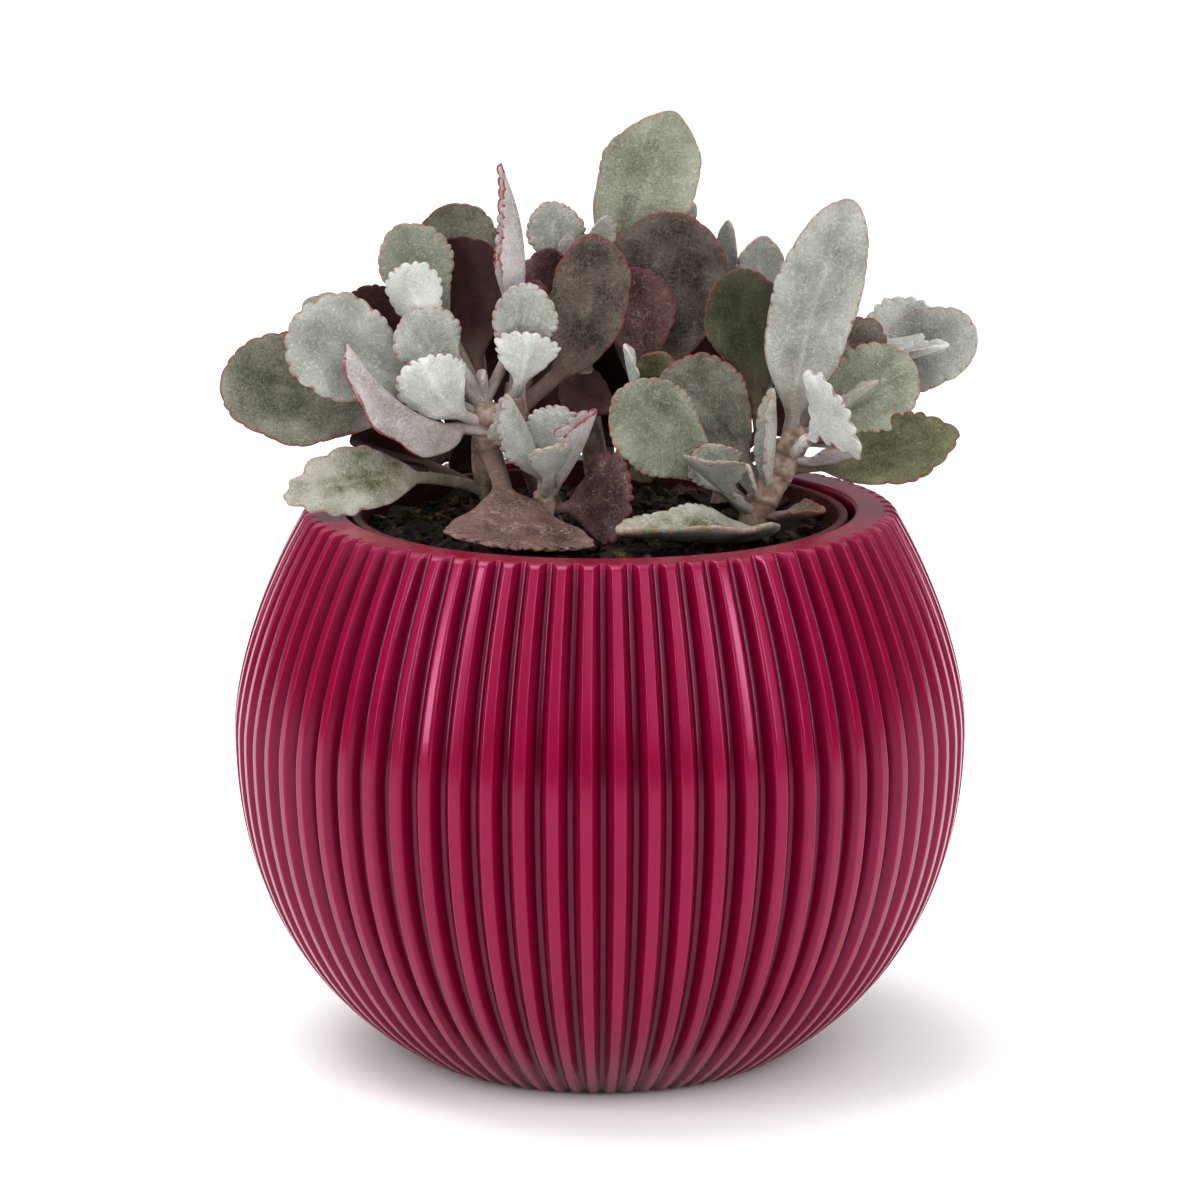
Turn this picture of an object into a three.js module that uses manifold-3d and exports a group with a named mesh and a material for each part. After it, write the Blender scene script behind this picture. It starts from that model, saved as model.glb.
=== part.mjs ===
// Potted flower dust plant: eight leafy shoots of a grey, frosted succulent in a thin nursery pot,
// which stands inside a ribbed ball planter.
// Millimetres, +Z up. The origin is the middle of the planter's flat underside, and the front is -Y.

import * as THREE from "three";
import { mergeVertices } from "three/addons/utils/BufferGeometryUtils.js";
import Module from "manifold-3d";

const wasm = await Module();
wasm.setup();

// Room between pieces that touch.
const CLEARANCE = 0.3;

// Ball planter: two superellipse arcs that meet at the widest level.
const PLANTER = {
  widestRadius: 72.5,
  widestLevel: 66,
  height: 109,
  upper: { reach: 89, power: 1.63 },
  lower: { reach: 74.4, power: 2.19 },
  wall: 4,
  floor: 5,
  mouthRadius: 50.2,
  lipHeight: 5,
};
const RIBS = {
  count: 72,
  firstCrest: -2,
  crestHalfWidth: 0.8,
  depth: 2.8,
  depthAtLip: 2.2,
  depthAtFoot: 1.2,
};
// Levels of the rings that make the planter's outer skin and its cavity.
const PLANTER_LEVELS = [0, 4, 20, 44, 68, 90, 105, 109];
const CAVITY_LEVELS = [14, 38, 66, 90];
const CAVITY_SIDES = 36;
// The grooves reach full depth this far above the foot and below the lip.
const GROOVE_RISE = 14;
const GROOVE_RUNOUT = 6;

// Nursery pot: thin walled, tapered, with an outward band round its rim.
const NURSERY = {
  floorLevel: PLANTER.floor + CLEARANCE,
  rimLevel: 108.2,
  footRadius: 36,
  bodyTopRadius: 47.6,
  rimRadius: 48.9,
  bandHeight: 8,
  wall: 1,
  sides: 36,
  drains: 4,
  drainRadius: 4,
  drainCircle: 24,
  drainSides: 10,
};

// Growing mix: fills the nursery pot, higher in the middle and rough on top.
const SOIL = {
  level: 103,
  crown: 1.5,
  roughness: 1.1,
  rings: 5,
  sides: 32,
  seed: 11,
  chips: 16,
  chipLength: [5, 11],
  chipWidth: [3, 6],
  chipThickness: [1.6, 2.6],
  chipTilt: 0.3,
  chipLift: 0.4,
  holeRoom: 0.5,
};

// Leaves: a blade on a short stalk, with round teeth on its outer part.
const LEAF = {
  edgeThickness: 0.7,
  ribThickness: 1.7,
  stalkThickness: 2.2,
  shoulder: 0.22,
  firstTooth: 0.4,
  lastTooth: 0.95,
  toothRelief: 0.05,
  toothPitch: 5.7,
  teeth: [2, 4],
  neck: 1.2,
  widest: 0.64,
  taper: 0.85,
  blunt: 0.7,
};
const STEM_SIDES = 7;

const point = (xyz) => new THREE.Vector3(...xyz);
const radians = THREE.MathUtils.degToRad;

// A seeded source of numbers from 0 to 1.
function randomSource(seed) {
  let state = seed;
  return () => {
    state = (state * 1664525 + 1013904223) % 4294967296;
    return state / 4294967296;
  };
}

// A closed geometry as a solid that can be joined and cut.
function solidOf(geometry) {
  const bare = new THREE.BufferGeometry();
  bare.setAttribute("position", geometry.getAttribute("position"));
  bare.setIndex(geometry.index);
  const merged = mergeVertices(bare, 1e-4);
  return new wasm.Manifold(
    new wasm.Mesh({
      numProp: 3,
      vertProperties: merged.attributes.position.array,
      triVerts: new Uint32Array(merged.index.array),
    }),
  );
}

// A joined or cut solid as a geometry.
function geometryOf(solid) {
  const cut = solid.getMesh();
  const geometry = new THREE.BufferGeometry();
  geometry.setAttribute("position", new THREE.BufferAttribute(cut.vertProperties, 3));
  geometry.setIndex(new THREE.BufferAttribute(cut.triVerts, 1));
  geometry.computeVertexNormals();
  return geometry;
}

// Geometry from a list of vectors and a list of corner triples, turned to face out.
function shellOf(vertices, triangles) {
  let volume = 0;
  for (const [a, b, c] of triangles) {
    volume += vertices[a].dot(vertices[b].clone().cross(vertices[c]));
  }
  const corners = volume > 0 ? triangles : triangles.map(([a, b, c]) => [a, c, b]);
  const geometry = new THREE.BufferGeometry();
  const positions = vertices.flatMap((v) => [v.x, v.y, v.z]);
  geometry.setAttribute("position", new THREE.Float32BufferAttribute(positions, 3));
  geometry.setIndex(corners.flat());
  return geometry;
}

// A closed skin over rings of equal count, with a fan on the middle of each end.
function loft(rings) {
  const sides = rings[0].length;
  const vertices = rings.flat();
  const triangles = [];
  for (let row = 0; row + 1 < rings.length; row++) {
    for (let i = 0; i < sides; i++) {
      const a = row * sides + i;
      const b = row * sides + ((i + 1) % sides);
      triangles.push([a, b, a + sides], [b, b + sides, a + sides]);
    }
  }
  const middle = (ring) =>
    ring.reduce((sum, v) => sum.add(v), new THREE.Vector3()).divideScalar(sides);
  const last = (rings.length - 1) * sides;
  const low = vertices.push(middle(rings[0])) - 1;
  const high = vertices.push(middle(rings[rings.length - 1])) - 1;
  for (let i = 0; i < sides; i++) {
    const next = (i + 1) % sides;
    triangles.push([low, next, i], [high, last + i, last + next]);
  }
  return shellOf(vertices, triangles);
}

// A solid of revolution about Z from [radius, level] pairs that start and end on the axis.
function turned(profile, sides) {
  const outline = profile.map(([radius, level]) => new THREE.Vector2(radius, level));
  const geometry = new THREE.LatheGeometry(outline, sides);
  geometry.rotateX(Math.PI / 2);
  const solid = solidOf(geometry);
  return solid.volume() > 0 ? solid : solidOf(flipped(geometry));
}

function flipped(geometry) {
  const index = geometry.index.array.slice();
  for (let i = 0; i < index.length; i += 3) {
    [index[i + 1], index[i + 2]] = [index[i + 2], index[i + 1]];
  }
  const copy = geometry.clone();
  copy.setIndex(new THREE.BufferAttribute(index, 1));
  return copy;
}

// The planter's outer radius at a level, measured over the rib crests.
function planterRadius(level) {
  const rise = level - PLANTER.widestLevel;
  const { reach, power } = rise > 0 ? PLANTER.upper : PLANTER.lower;
  return PLANTER.widestRadius * (1 - (Math.abs(rise) / reach) ** power) ** (1 / power);
}

// How deep the grooves are at a level: shallow at the foot and where they end under the lip.
function grooveDepth(level) {
  const fromFoot = THREE.MathUtils.smoothstep(level, 0, GROOVE_RISE);
  const fromLip = THREE.MathUtils.smoothstep(PLANTER.height - level, 0, GROOVE_RUNOUT);
  const foot = THREE.MathUtils.lerp(RIBS.depthAtFoot, RIBS.depth, fromFoot);
  return THREE.MathUtils.lerp(RIBS.depthAtLip, foot, fromLip);
}

function planter() {
  const pitch = 360 / RIBS.count;
  const rings = PLANTER_LEVELS.map((level) => {
    const ring = [];
    for (let rib = 0; rib < RIBS.count; rib++) {
      const crest = RIBS.firstCrest + rib * pitch;
      const spots = [
        [crest - RIBS.crestHalfWidth, 0],
        [crest + RIBS.crestHalfWidth, 0],
        [crest + pitch / 2, grooveDepth(level)],
      ];
      for (const [degrees, inset] of spots) {
        const radius = planterRadius(level) - inset;
        const angle = radians(degrees);
        ring.push(point([radius * Math.sin(angle), -radius * Math.cos(angle), level]));
      }
    }
    return ring;
  });
  const inner = [[0, PLANTER.floor]];
  const lipUnderside = PLANTER.height - PLANTER.lipHeight;
  for (const level of [PLANTER.floor, ...CAVITY_LEVELS, lipUnderside]) {
    inner.push([planterRadius(level) - RIBS.depth - PLANTER.wall, level]);
  }
  inner.push([PLANTER.mouthRadius, lipUnderside + 1]);
  inner.push([PLANTER.mouthRadius, PLANTER.height + 1]);
  inner.push([0, PLANTER.height + 1]);
  return solidOf(loft(rings)).subtract(turned(inner, CAVITY_SIDES));
}

function nurseryPot() {
  const { floorLevel, rimLevel, footRadius, bodyTopRadius, rimRadius, wall } = NURSERY;
  const bandFoot = rimLevel - NURSERY.bandHeight;
  const shell = turned(
    [
      [0, floorLevel],
      [footRadius, floorLevel],
      [bodyTopRadius, bandFoot],
      [rimRadius, bandFoot + 1.5],
      [rimRadius, rimLevel - 0.5],
      [rimRadius - 0.5, rimLevel],
      [rimRadius - 1.6, rimLevel],
      [rimRadius - 2, rimLevel - 1],
      [bodyTopRadius - wall, bandFoot],
      [footRadius - wall, floorLevel + wall],
      [0, floorLevel + wall],
    ],
    NURSERY.sides,
  );
  const { drainRadius, drainSides } = NURSERY;
  const drain = new THREE.CylinderGeometry(drainRadius, drainRadius, 4 * wall, drainSides);
  drain.rotateX(Math.PI / 2);
  let pot = shell;
  for (let i = 0; i < NURSERY.drains; i++) {
    const angle = (2 * Math.PI * i) / NURSERY.drains;
    const x = NURSERY.drainCircle * Math.cos(angle);
    const y = NURSERY.drainCircle * Math.sin(angle);
    pot = pot.subtract(solidOf(drain.clone().translate(x, y, floorLevel + wall / 2)));
  }
  return pot;
}

// The nursery pot's inner radius at a level below its band.
function potInside(level) {
  const bandFoot = NURSERY.rimLevel - NURSERY.bandHeight;
  const share = (level - NURSERY.floorLevel) / (bandFoot - NURSERY.floorLevel);
  const outer = THREE.MathUtils.lerp(NURSERY.footRadius, NURSERY.bodyTopRadius, share);
  return outer - NURSERY.wall;
}

// Growing mix with a rough crown, bark chips sunk into it and a plain hole for each stem.
function soil(stems) {
  const random = randomSource(SOIL.seed);
  const bottom = NURSERY.floorLevel + NURSERY.wall + CLEARANCE;
  const ringAt = (radius, level, rough) => {
    const ring = [];
    for (let i = 0; i < SOIL.sides; i++) {
      const angle = (2 * Math.PI * i) / SOIL.sides;
      const bump = rough * (random() - 0.5) * 2;
      ring.push(point([radius * Math.cos(angle), radius * Math.sin(angle), level + bump]));
    }
    return ring;
  };
  const edge = potInside(SOIL.level) - 2 * CLEARANCE;
  const rings = [ringAt(potInside(bottom) - 2 * CLEARANCE, bottom, 0)];
  for (let i = SOIL.rings; i > 0; i--) {
    const share = i / SOIL.rings;
    const level = SOIL.level + SOIL.crown * (1 - share * share);
    rings.push(ringAt(edge * share, level, i === SOIL.rings ? 0 : SOIL.roughness));
  }
  const between = ([least, most]) => THREE.MathUtils.lerp(least, most, random());
  const { chipLength, chipWidth, chipThickness, chipTilt } = SOIL;
  let bed = solidOf(loft(rings));
  for (let i = 0; i < SOIL.chips; i++) {
    const angle = between([0, 2 * Math.PI]);
    const radius = between([0.25 * edge, 0.85 * edge]);
    const chip = new THREE.BoxGeometry(between(chipLength), between(chipWidth), between(chipThickness));
    chip.rotateX(between([-chipTilt, chipTilt]));
    chip.rotateY(between([-chipTilt, chipTilt]));
    chip.rotateZ(between([0, Math.PI]));
    const top = SOIL.level + SOIL.crown * (1 - (radius / edge) ** 2) + SOIL.chipLift;
    chip.translate(radius * Math.cos(angle), radius * Math.sin(angle), top);
    bed = bed.add(solidOf(chip));
  }
  for (const { path, radii } of stems) {
    const [[x, y, foot], ...rest] = path;
    const hole = [[x, y, foot - SOIL.holeRoom], ...rest];
    bed = bed.subtract(stemSolid({ path: hole, radii: radii.map((r) => r + SOIL.holeRoom) }));
  }
  return bed;
}

// A round stem along a smooth curve through its points, tapering evenly.
function stemSolid({ path, radii }) {
  const curve = new THREE.CatmullRomCurve3(path.map(point));
  const steps = 2 * (path.length - 1);
  const frames = curve.computeFrenetFrames(steps);
  const rings = [];
  for (let i = 0; i <= steps; i++) {
    const centre = curve.getPointAt(i / steps);
    const radius = THREE.MathUtils.lerp(radii[0], radii[1], i / steps);
    const ring = [];
    for (let j = 0; j < STEM_SIDES; j++) {
      const angle = (2 * Math.PI * j) / STEM_SIDES;
      const out = frames.normals[i].clone().multiplyScalar(Math.cos(angle) * radius);
      out.addScaledVector(frames.binormals[i], Math.sin(angle) * radius);
      ring.push(centre.clone().add(out));
    }
    rings.push(ring);
  }
  return solidOf(loft(rings));
}

// The point of a stem's axis at a level.
function onStem({ path }, level) {
  const curve = new THREE.CatmullRomCurve3(path.map(point));
  let low = 0;
  let high = 1;
  for (let i = 0; i < 20; i++) {
    const middle = (low + high) / 2;
    if (curve.getPoint(middle).z < level) low = middle;
    else high = middle;
  }
  return curve.getPoint(low);
}

// Half the blade's width, as a share of its greatest, at a share of its length. The blade is widest
// at the share widest. A smaller taper gives it a fuller base, and a smaller blunt a fuller end.
function bladeOutline(along, { widest, taper, blunt }) {
  const warped = along ** (Math.log(0.5) / Math.log(widest));
  return (4 * warped * (1 - warped)) ** (warped < 0.5 ? taper : blunt);
}

// The stations of a leaf: share of its length, half width, and whether its midrib has a point there.
function leafStations(shape, teeth) {
  const { stalk, neck } = shape;
  const half = shape.width / 2;
  const stations = [
    { at: 0, half: Math.min(neck, half), rib: true },
    { at: stalk, half: Math.min(neck, half), rib: true },
  ];
  const onBlade = (along, relief, rib) => {
    const wide = Math.max(half * bladeOutline(along, shape) * relief, neck);
    const most = half * (1 + LEAF.toothRelief);
    stations.push({ at: stalk + (1 - stalk) * along, half: Math.min(wide, most), rib });
  };
  onBlade(LEAF.shoulder, 1, true);
  const span = (LEAF.lastTooth - LEAF.firstTooth) / (2 * teeth - 1);
  for (let i = 0; i < 2 * teeth; i++) {
    const notch = i % 2 === 0;
    const relief = notch ? 1 - LEAF.toothRelief : 1 + LEAF.toothRelief;
    onBlade(LEAF.firstTooth + i * span, relief, notch);
  }
  return stations;
}

// A leaf from its root on the stem to its tip. bow moves the middle of its midrib, face is where
// its upper side looks, and fold is the angle by which its halves stand up from flat.
function leafSolid(root, shape) {
  const { tip, bow, face, fold, stalk } = shape;
  const end = point(tip);
  const control = root.clone().lerp(end, 0.5).addScaledVector(point(bow), 2);
  const midrib = new THREE.QuadraticBezierCurve3(root, control, end);
  const toothed = (1 - LEAF.firstTooth) * (1 - stalk) * midrib.getLength();
  const teeth = THREE.MathUtils.clamp(Math.round(toothed / LEAF.toothPitch), ...LEAF.teeth);
  const lift = radians(fold);
  const vertices = [];
  const rows = leafStations(shape, teeth).map(({ at, half, rib }) => {
    const centre = midrib.getPoint(at);
    const along = midrib.getTangent(at);
    const up = point(face).addScaledVector(along, -point(face).dot(along)).normalize();
    const side = along.clone().cross(up);
    const edge = (sign, layer) => {
      const opened = at <= stalk ? 0 : lift;
      const spread = side.clone().multiplyScalar(sign * half * Math.cos(opened));
      const normal = up.clone().multiplyScalar(Math.cos(opened));
      normal.addScaledVector(side, -sign * Math.sin(opened));
      const spot = centre.clone().add(spread).addScaledVector(up, half * Math.sin(opened));
      return vertices.push(spot.addScaledVector(normal, (layer * LEAF.edgeThickness) / 2)) - 1;
    };
    const body = at <= stalk ? LEAF.stalkThickness : LEAF.ribThickness;
    const spine = (layer) =>
      vertices.push(centre.clone().addScaledVector(up, (layer * body) / 2)) - 1;
    return {
      rib,
      top: [edge(-1, 1), rib ? spine(1) : -1, edge(1, 1)],
      under: [edge(-1, -1), rib ? spine(-1) : -1, edge(1, -1)],
    };
  });
  const endUp = point(face).normalize().multiplyScalar(LEAF.edgeThickness / 2);
  const above = vertices.push(end.clone().add(endUp)) - 1;
  const below = vertices.push(end.clone().sub(endUp)) - 1;
  rows.push({ rib: true, top: [above, above, above], under: [below, below, below] });

  const triangles = [];
  const add = (a, b, c) => {
    if (a !== b && b !== c && a !== c) triangles.push([a, b, c]);
  };
  // Both faces are split alike, between each midrib point and the next.
  let from = rows[0];
  let tooth = null;
  for (const row of rows.slice(1)) {
    if (!row.rib) {
      tooth = row;
      continue;
    }
    for (const [layer, turn] of [["top", 1], ["under", -1]]) {
      const put = (a, b, c) => (turn > 0 ? add(a, b, c) : add(a, c, b));
      const [fromLeft, fromRib, fromRight] = from[layer];
      const [toLeft, toRib, toRight] = row[layer];
      if (tooth) {
        const [left, , right] = tooth[layer];
        put(fromRib, fromRight, right);
        put(fromRib, right, toRib);
        put(toRib, right, toRight);
        put(fromLeft, fromRib, left);
        put(left, fromRib, toRib);
        put(left, toRib, toLeft);
      } else {
        put(fromRib, fromRight, toRight);
        put(fromRib, toRight, toRib);
        put(fromLeft, fromRib, toRib);
        put(fromLeft, toRib, toLeft);
      }
    }
    from = row;
    tooth = null;
  }
  for (let i = 0; i + 1 < rows.length; i++) {
    const [a, b] = [rows[i], rows[i + 1]];
    add(a.top[2], a.under[2], b.under[2]);
    add(a.top[2], b.under[2], b.top[2]);
    add(a.under[0], a.top[0], b.top[0]);
    add(a.under[0], b.top[0], b.under[0]);
  }
  const [first] = rows;
  add(first.top[1], first.top[0], first.under[0]);
  add(first.top[1], first.under[0], first.under[1]);
  add(first.top[1], first.under[1], first.under[2]);
  add(first.top[1], first.under[2], first.top[2]);
  return solidOf(shellOf(vertices, triangles));
}

// One leaf of the lists below. root is its level on the stem, or a point of its own. neck is half
// the stalk's width.
function leaf(root, tip, bow, face, width, fold, stalk, form = {}) {
  const { neck, widest, taper, blunt } = LEAF;
  return { root, tip, bow, face, width, fold, stalk, stem: 0, neck, widest, taper, blunt, ...form };
}

const SHOOTS = {
  shoot_left: {
    stems: [
      {
        path: [[-17, 10, 93], [-19, 7, 104], [-22.5, 0, 116], [-22.5, -2.5, 124], [-22.3, -2, 131]],
        radii: [3, 2.2],
      },
    ],
    leaves: [
      leaf(127, [-74.6, 3, 133.8], [0, 0, -0.2], [-0.15, -0.9, 0.45], 23, 10, 0.22, { blunt: 0.58 }),
      leaf(127.5, [-59.8, -5, 147], [-1, 0, -1], [0.1, -0.93, 0.35], 21, 8, 0.25, { blunt: 0.55 }),
      leaf(129, [-58.5, 7, 148.5], [0, 2, 0], [0, -0.9, 0.4], 11, 10, 0.35),
      leaf(125, [-49.2, -9, 143.4], [-1.1, -3, -4.3], [0.7, 0.1, 0.7], 18.4, -72, 0.15, {
        neck: 1.9,
        widest: 0.4,
        taper: 0.7,
      }),
      leaf(129, [-37.3, -3, 148.2], [-1, 0, 0], [0.1, -0.9, 0.4], 14, 10, 0.25, { blunt: 0.6 }),
      leaf(126, [-33.8, -9, 140.2], [-1.5, -1.5, -2], [-0.3, 0.9, 0.2], 16, 24, 0.2, { blunt: 0.5 }),
      leaf(130, [-39.8, 6, 164], [-0.5, 2, 0], [0.1, -0.95, 0.25], 15, 10, 0.35, { widest: 0.68 }),
      leaf(130, [-39.3, -1, 156.6], [-0.5, 0, 0], [-0.1, 0.8, 0.3], 12.5, 28, 0.4, {
        widest: 0.7,
        blunt: 0.5,
      }),
      leaf(129, [-28.5, 9, 161.2], [-0.5, 3, 0], [0, -0.98, 0.2], 20, 8, 0.2, { blunt: 0.5 }),
      leaf(131, [-19.5, -2, 177], [6, 1, 0], [-0.97, -0.25, 0], 12, 70, 0.33, {
        widest: 0.38,
        blunt: 0.85,
      }),
      leaf(128, [-30.8, 15, 166.8], [1, 6, 0], [0, -0.97, 0.25], 18, 8, 0.3, { blunt: 0.5 }),
      leaf(126, [-49.5, 11, 149.4], [0, 4, 0], [0, -0.8, 0.6], 12.5, 10, 0.4, { blunt: 0.5 }),
      leaf(111, [-61.4, -14, 113.1], [2.5, -1, 4], [-0.1, -0.88, 0.47], 13.9, 6, 0.4, { widest: 0.54 }),
      leaf(122, [-15, -39.5, 108.4], [1, 5, -2.2], [0.13, -0.2, 0.97], 29.5, -2, 0.22, {
        neck: 1.9,
        widest: 0.86,
        taper: 0.34,
      }),
      leaf(130.5, [-22.8, -4, 137], [0, 0, 0], [-0.9, -0.4, 0], 4, 30, 0.2),
      leaf(124, [-41, 4, 135.5], [0, 2, 0], [0, -0.85, 0.5], 12, 10, 0.35),
      leaf(110, [-49.5, 4, 121.5], [0, 2, 1], [0.2, -0.6, 0.75], 11, 35, 0.4),
    ],
  },
  shoot_middle: {
    stems: [
      {
        path: [[-8, 12, 93], [-9, 10, 104], [-14, 5, 118], [-16.5, 0, 129], [-16.5, 1, 134]],
        radii: [2.8, 2],
      },
    ],
    leaves: [
      leaf(129, [-2, 1, 163], [5, 1, -4], [0.1, -0.97, 0.2], 15.8, -5, 0.26, {
        neck: 1.6,
        taper: 0.5,
        blunt: 0.6,
      }),
      leaf(127, [-9.5, 6, 159.6], [0.5, 2, 0], [0, -0.95, 0.3], 12, 5, 0.35),
      leaf(128, [-12.4, 3.5, 153.6], [0, 0, 0], [0, -0.95, 0.3], 8.6, 5, 0.35),
      leaf(131, [-13, -6, 154.1], [-0.8, -1.5, 0], [0.1, -0.95, 0.3], 13, 15, 0.2, { blunt: 0.6 }),
      leaf(131, [-13.4, -9, 144.9], [0, -2, -1], [0, 0.86, 0.5], 13.5, 20, 0.15, {
        widest: 0.72,
        blunt: 0.5,
      }),
      leaf(122, [-20.5, 12.5, 146], [-0.8, 3, 0], [0, -0.95, 0.3], 11, 5, 0.08, { taper: 0.4 }),
    ],
  },
  shoot_front: {
    stems: [
      {
        path: [[-7, 0, 93], [-8.5, -4, 103], [-10.6, -11.5, 111], [-11, -13, 114.6]],
        radii: [2.6, 2],
      },
    ],
    leaves: [
      leaf(113, [-17.8, -16, 134.2], [1.5, 0, 0], [-0.95, -0.25, 0.1], 15.5, 62, 0.12, {
        widest: 0.6,
        blunt: 0.5,
      }),
      leaf(113, [-7.8, -12, 131.2], [0, 0, 0], [0, -0.97, 0.25], 11.5, 5, 0.3, { blunt: 0.6 }),
      leaf(113, [-8.8, -22, 125], [0, 0, -1], [-0.36, 0.66, 0.49], 9.5, 15, 0.3, { widest: 0.75 }),
      leaf(113, [-0.7, -16, 131.2], [0.8, 0, -1.5], [-0.75, -0.2, 0.6], 13, 62, 0.15, { widest: 0.55 }),
      leaf(110, [6, -23, 116.2], [0, 0, 0], [-0.6, -0.7, 0.3], 18.2, -5, 0.2, { blunt: 0.5 }),
    ],
  },
  shoot_tall: {
    stems: [
      { path: [[2, 14, 93], [0, 14, 110], [-3, 13, 130], [-5, 12, 151]], radii: [3, 1.8] },
      { path: [[0.3, 14, 106], [5, 8, 118], [8, 5, 128]], radii: [2.2, 1.8] },
    ],
    leaves: [
      leaf(148, [-10.7, 12, 167.9], [0, 0, 0], [0, -0.95, 0.3], 12, 20, 0.2),
      leaf(149, [-6.4, 11, 161.6], [0, 0, 0], [0.2, -0.9, 0.4], 6, 20, 0.2),
      leaf(149, [1.5, 10, 165.4], [0, 0, 0], [0.5, -0.8, 0.2], 6.5, 20, 0.2),
      leaf(140, [15, 17, 185.2], [0.7, 5, 0], [0, -0.95, 0.3], 20.4, 8, 0.25, { widest: 0.56 }),
      leaf(145, [19, 20, 166.5], [0, 2, 0], [0, -0.95, 0.3], 8, 8, 0.4),
      leaf(124, [5.6, 8, 155.3], [2, 1, 0], [0.2, -0.95, 0.15], 14.4, 5, 0.25, { stem: 1 }),
      leaf(126, [17.3, 15, 164.8], [-1, 3, 0], [0, -0.9, 0.4], 25.5, 5, 0.12, {
        stem: 1,
        taper: 0.5,
        blunt: 0.56,
      }),
      leaf(127, [4.7, -2, 141.7], [0, 0, 0], [0.8, -0.2, 0.5], 5, 45, 0.1, { stem: 1 }),
      leaf(125, [-8, 8, 132], [0, 0, 0], [0, -0.5, 0.85], 14, 5, 0.2, { stem: 1 }),
      leaf(127, [13, 3, 139.2], [0, 0, 0], [0, -0.95, 0.3], 8.5, 5, 0.2, { stem: 1 }),
      leaf(112, [12.6, 3, 118], [0, 0, 0], [0, -0.9, 0.4], 7, 5, 0.2, { stem: 1 }),
    ],
  },
  shoot_right: {
    stems: [
      {
        path: [[29, -3, 93], [30, -5, 103], [31, -7, 110], [35, -5.5, 117], [39.5, -4.5, 126]],
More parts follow.
